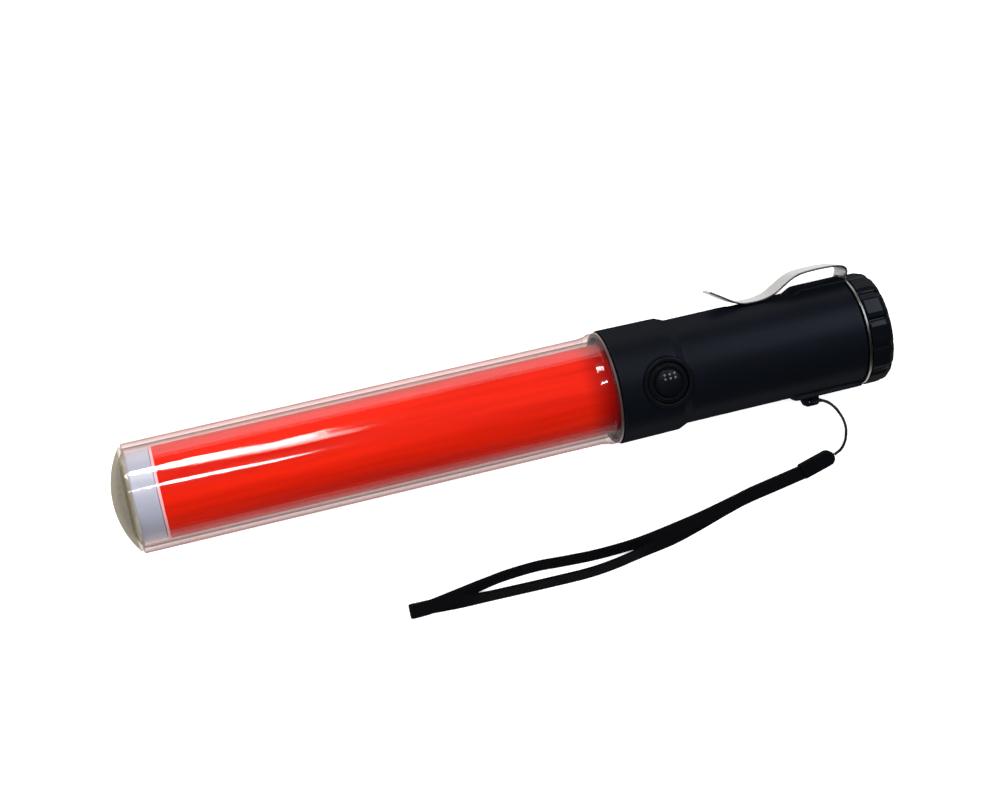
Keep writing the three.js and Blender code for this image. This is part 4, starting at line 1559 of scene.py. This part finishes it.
@dataclass
class TailCap:
    """The screwed cap: a lobed grip, a threaded skirt with its seal, and its contact spring."""

    front: float = 274.9
    back: float = 284.0
    r: float = 21.1
    face_r: float = 18.2
    lobes: int = 12
    flat_half: float = 7.0
    lobe_fall: Pair = (0.35, 5.0)
    groove: Triple = (12.4, 0.85, 2.0)
    skirt: Pair = (267.2, 17.0)
    skirt_bore: float = 14.7
    seal_x: Pair = (270.9, 273.1)
    seal_r: float = 15.9
    fillet_x: float = 280.0
    core_x: float = 278.0
    straight_end: float = 277.5
    lead_in: tuple[Pair, ...] = ((0.0, -0.7), (0.12, -0.2), (0.5, 0.0))
    dish: Triple = (14.0, 13.6, 0.35)
    thread_rings: Pair = (0.3, 3.55)
    thread_pitch: float = 3.0
    thread_depth: float = 0.25

    def sink(self, turn: float) -> float:
        """How deep the grip is sunk: each lobe is flat, and falls a little to a narrow groove.

        Args:
            turn: The angle round the axis, in radians.

        Returns:
            The depth under the grip's radius.
        """
        pitch = math.tau / self.lobes
        off = abs((turn + pitch / 2) % pitch - pitch / 2)
        half = math.radians(self.flat_half)
        flat = self.r * (1 - math.cos(half) / math.cos(min(off, half)))
        away = math.degrees(off)
        fall, fall_width = self.lobe_fall
        groove_from, groove_depth, groove_width = self.groove
        fallen = fall * smooth((away - self.flat_half) / fall_width)
        return flat + fallen + groove_depth * smooth((away - groove_from) / groove_width)

    def build_cap(self) -> None:
        """Turns the cap, then sinks its grooves and raises its thread."""
        start, skirt_r = self.skirt
        seal_front, seal_back = self.seal_x
        front, back, inside = self.front, self.back, self.skirt_bore
        turns = spread(0.0, math.pi / 2, 8)
        long, tall = back - self.fillet_x, self.r - self.face_r
        dish_r, dish_floor_r, dish_depth = self.dish
        thread_start, thread_end = self.thread_rings
        outline = [(self.core_x, 0), (self.core_x, inside), (start, inside), (start, skirt_r - 0.2)]
        outline += [(x, skirt_r) for x in spread(start + thread_start, start + thread_end, 13)]
        outline += [(seal_front, skirt_r), (seal_front, self.seal_r), (seal_back, self.seal_r)]
        outline += [(seal_back, skirt_r), (front, skirt_r)]
        outline += [(front + x, self.r + out) for x, out in self.lead_in]
        outline.append((self.straight_end, self.r))
        outline += [(self.fillet_x + long * math.sin(a), self.face_r + tall * math.cos(a)) for a in turns]
        outline += [(back, dish_r), (back - dish_depth, dish_floor_r), (back - dish_depth, 0)]
        shape = turned(outline, 360, False)
        rim_r = self.face_r + 0.1
        for vert in shape.verts:
            x, y, z = vert.co
            r = math.hypot(y, z)
            turn = math.atan2(z, y)
            if x > front - 0.01 and r > rim_r:
                change = -self.sink(turn) * smooth((r - rim_r) / 1.4)
            elif abs(r - skirt_r) < 0.01 and start < x < seal_front - 0.1:
                wave = math.cos(math.tau * (x / self.thread_pitch) - turn)
                change = self.thread_depth * smooth((wave + 0.4) / 0.8)
            else:
                continue
            vert.co.y, vert.co.z = y * (r + change) / r, z * (r + change) / r
        as_piece("lobed_cap", shape, Finish.CAP, ["tail_cap"], body="cap", crease=26.0)

    def build_seal(self) -> None:
        """Turns the seal, a round-edged ring in the skirt's groove."""
        front, back = self.seal_x[0] + 0.3, self.seal_x[1] - 0.3
        low, high = self.seal_r + 0.3, self.seal_r + 1.2
        corners = [(front, low, 0.3), (front, high, 0.45), (back, high, 0.45), (back, low, 0.3)]
        as_piece("rubber_seal", turned_ring(corners, 96), Finish.SEAL, ["cap_seal"], body="seal")

    def build(self) -> None:
        """Makes the cap and dresses its contact and spring."""
        self.build_cap()
        self.build_seal()
        dress(Finish.BRASS, "tail_contact")
        dress(Finish.SPRING, "tail_spring")


def main() -> None:
    """Builds the scene and every sub-assembly in order."""
    logging.basicConfig(level=logging.INFO, format="%(name)s %(message)s")
    for assembly in (Studio(), WristStrap(), LightTube(), Handle(), PushButton(), BeltClip(), TailCap()):
        LOG.info("building %s", type(assembly).__name__)
        assembly.build()


if __name__ == "__main__":
    main()
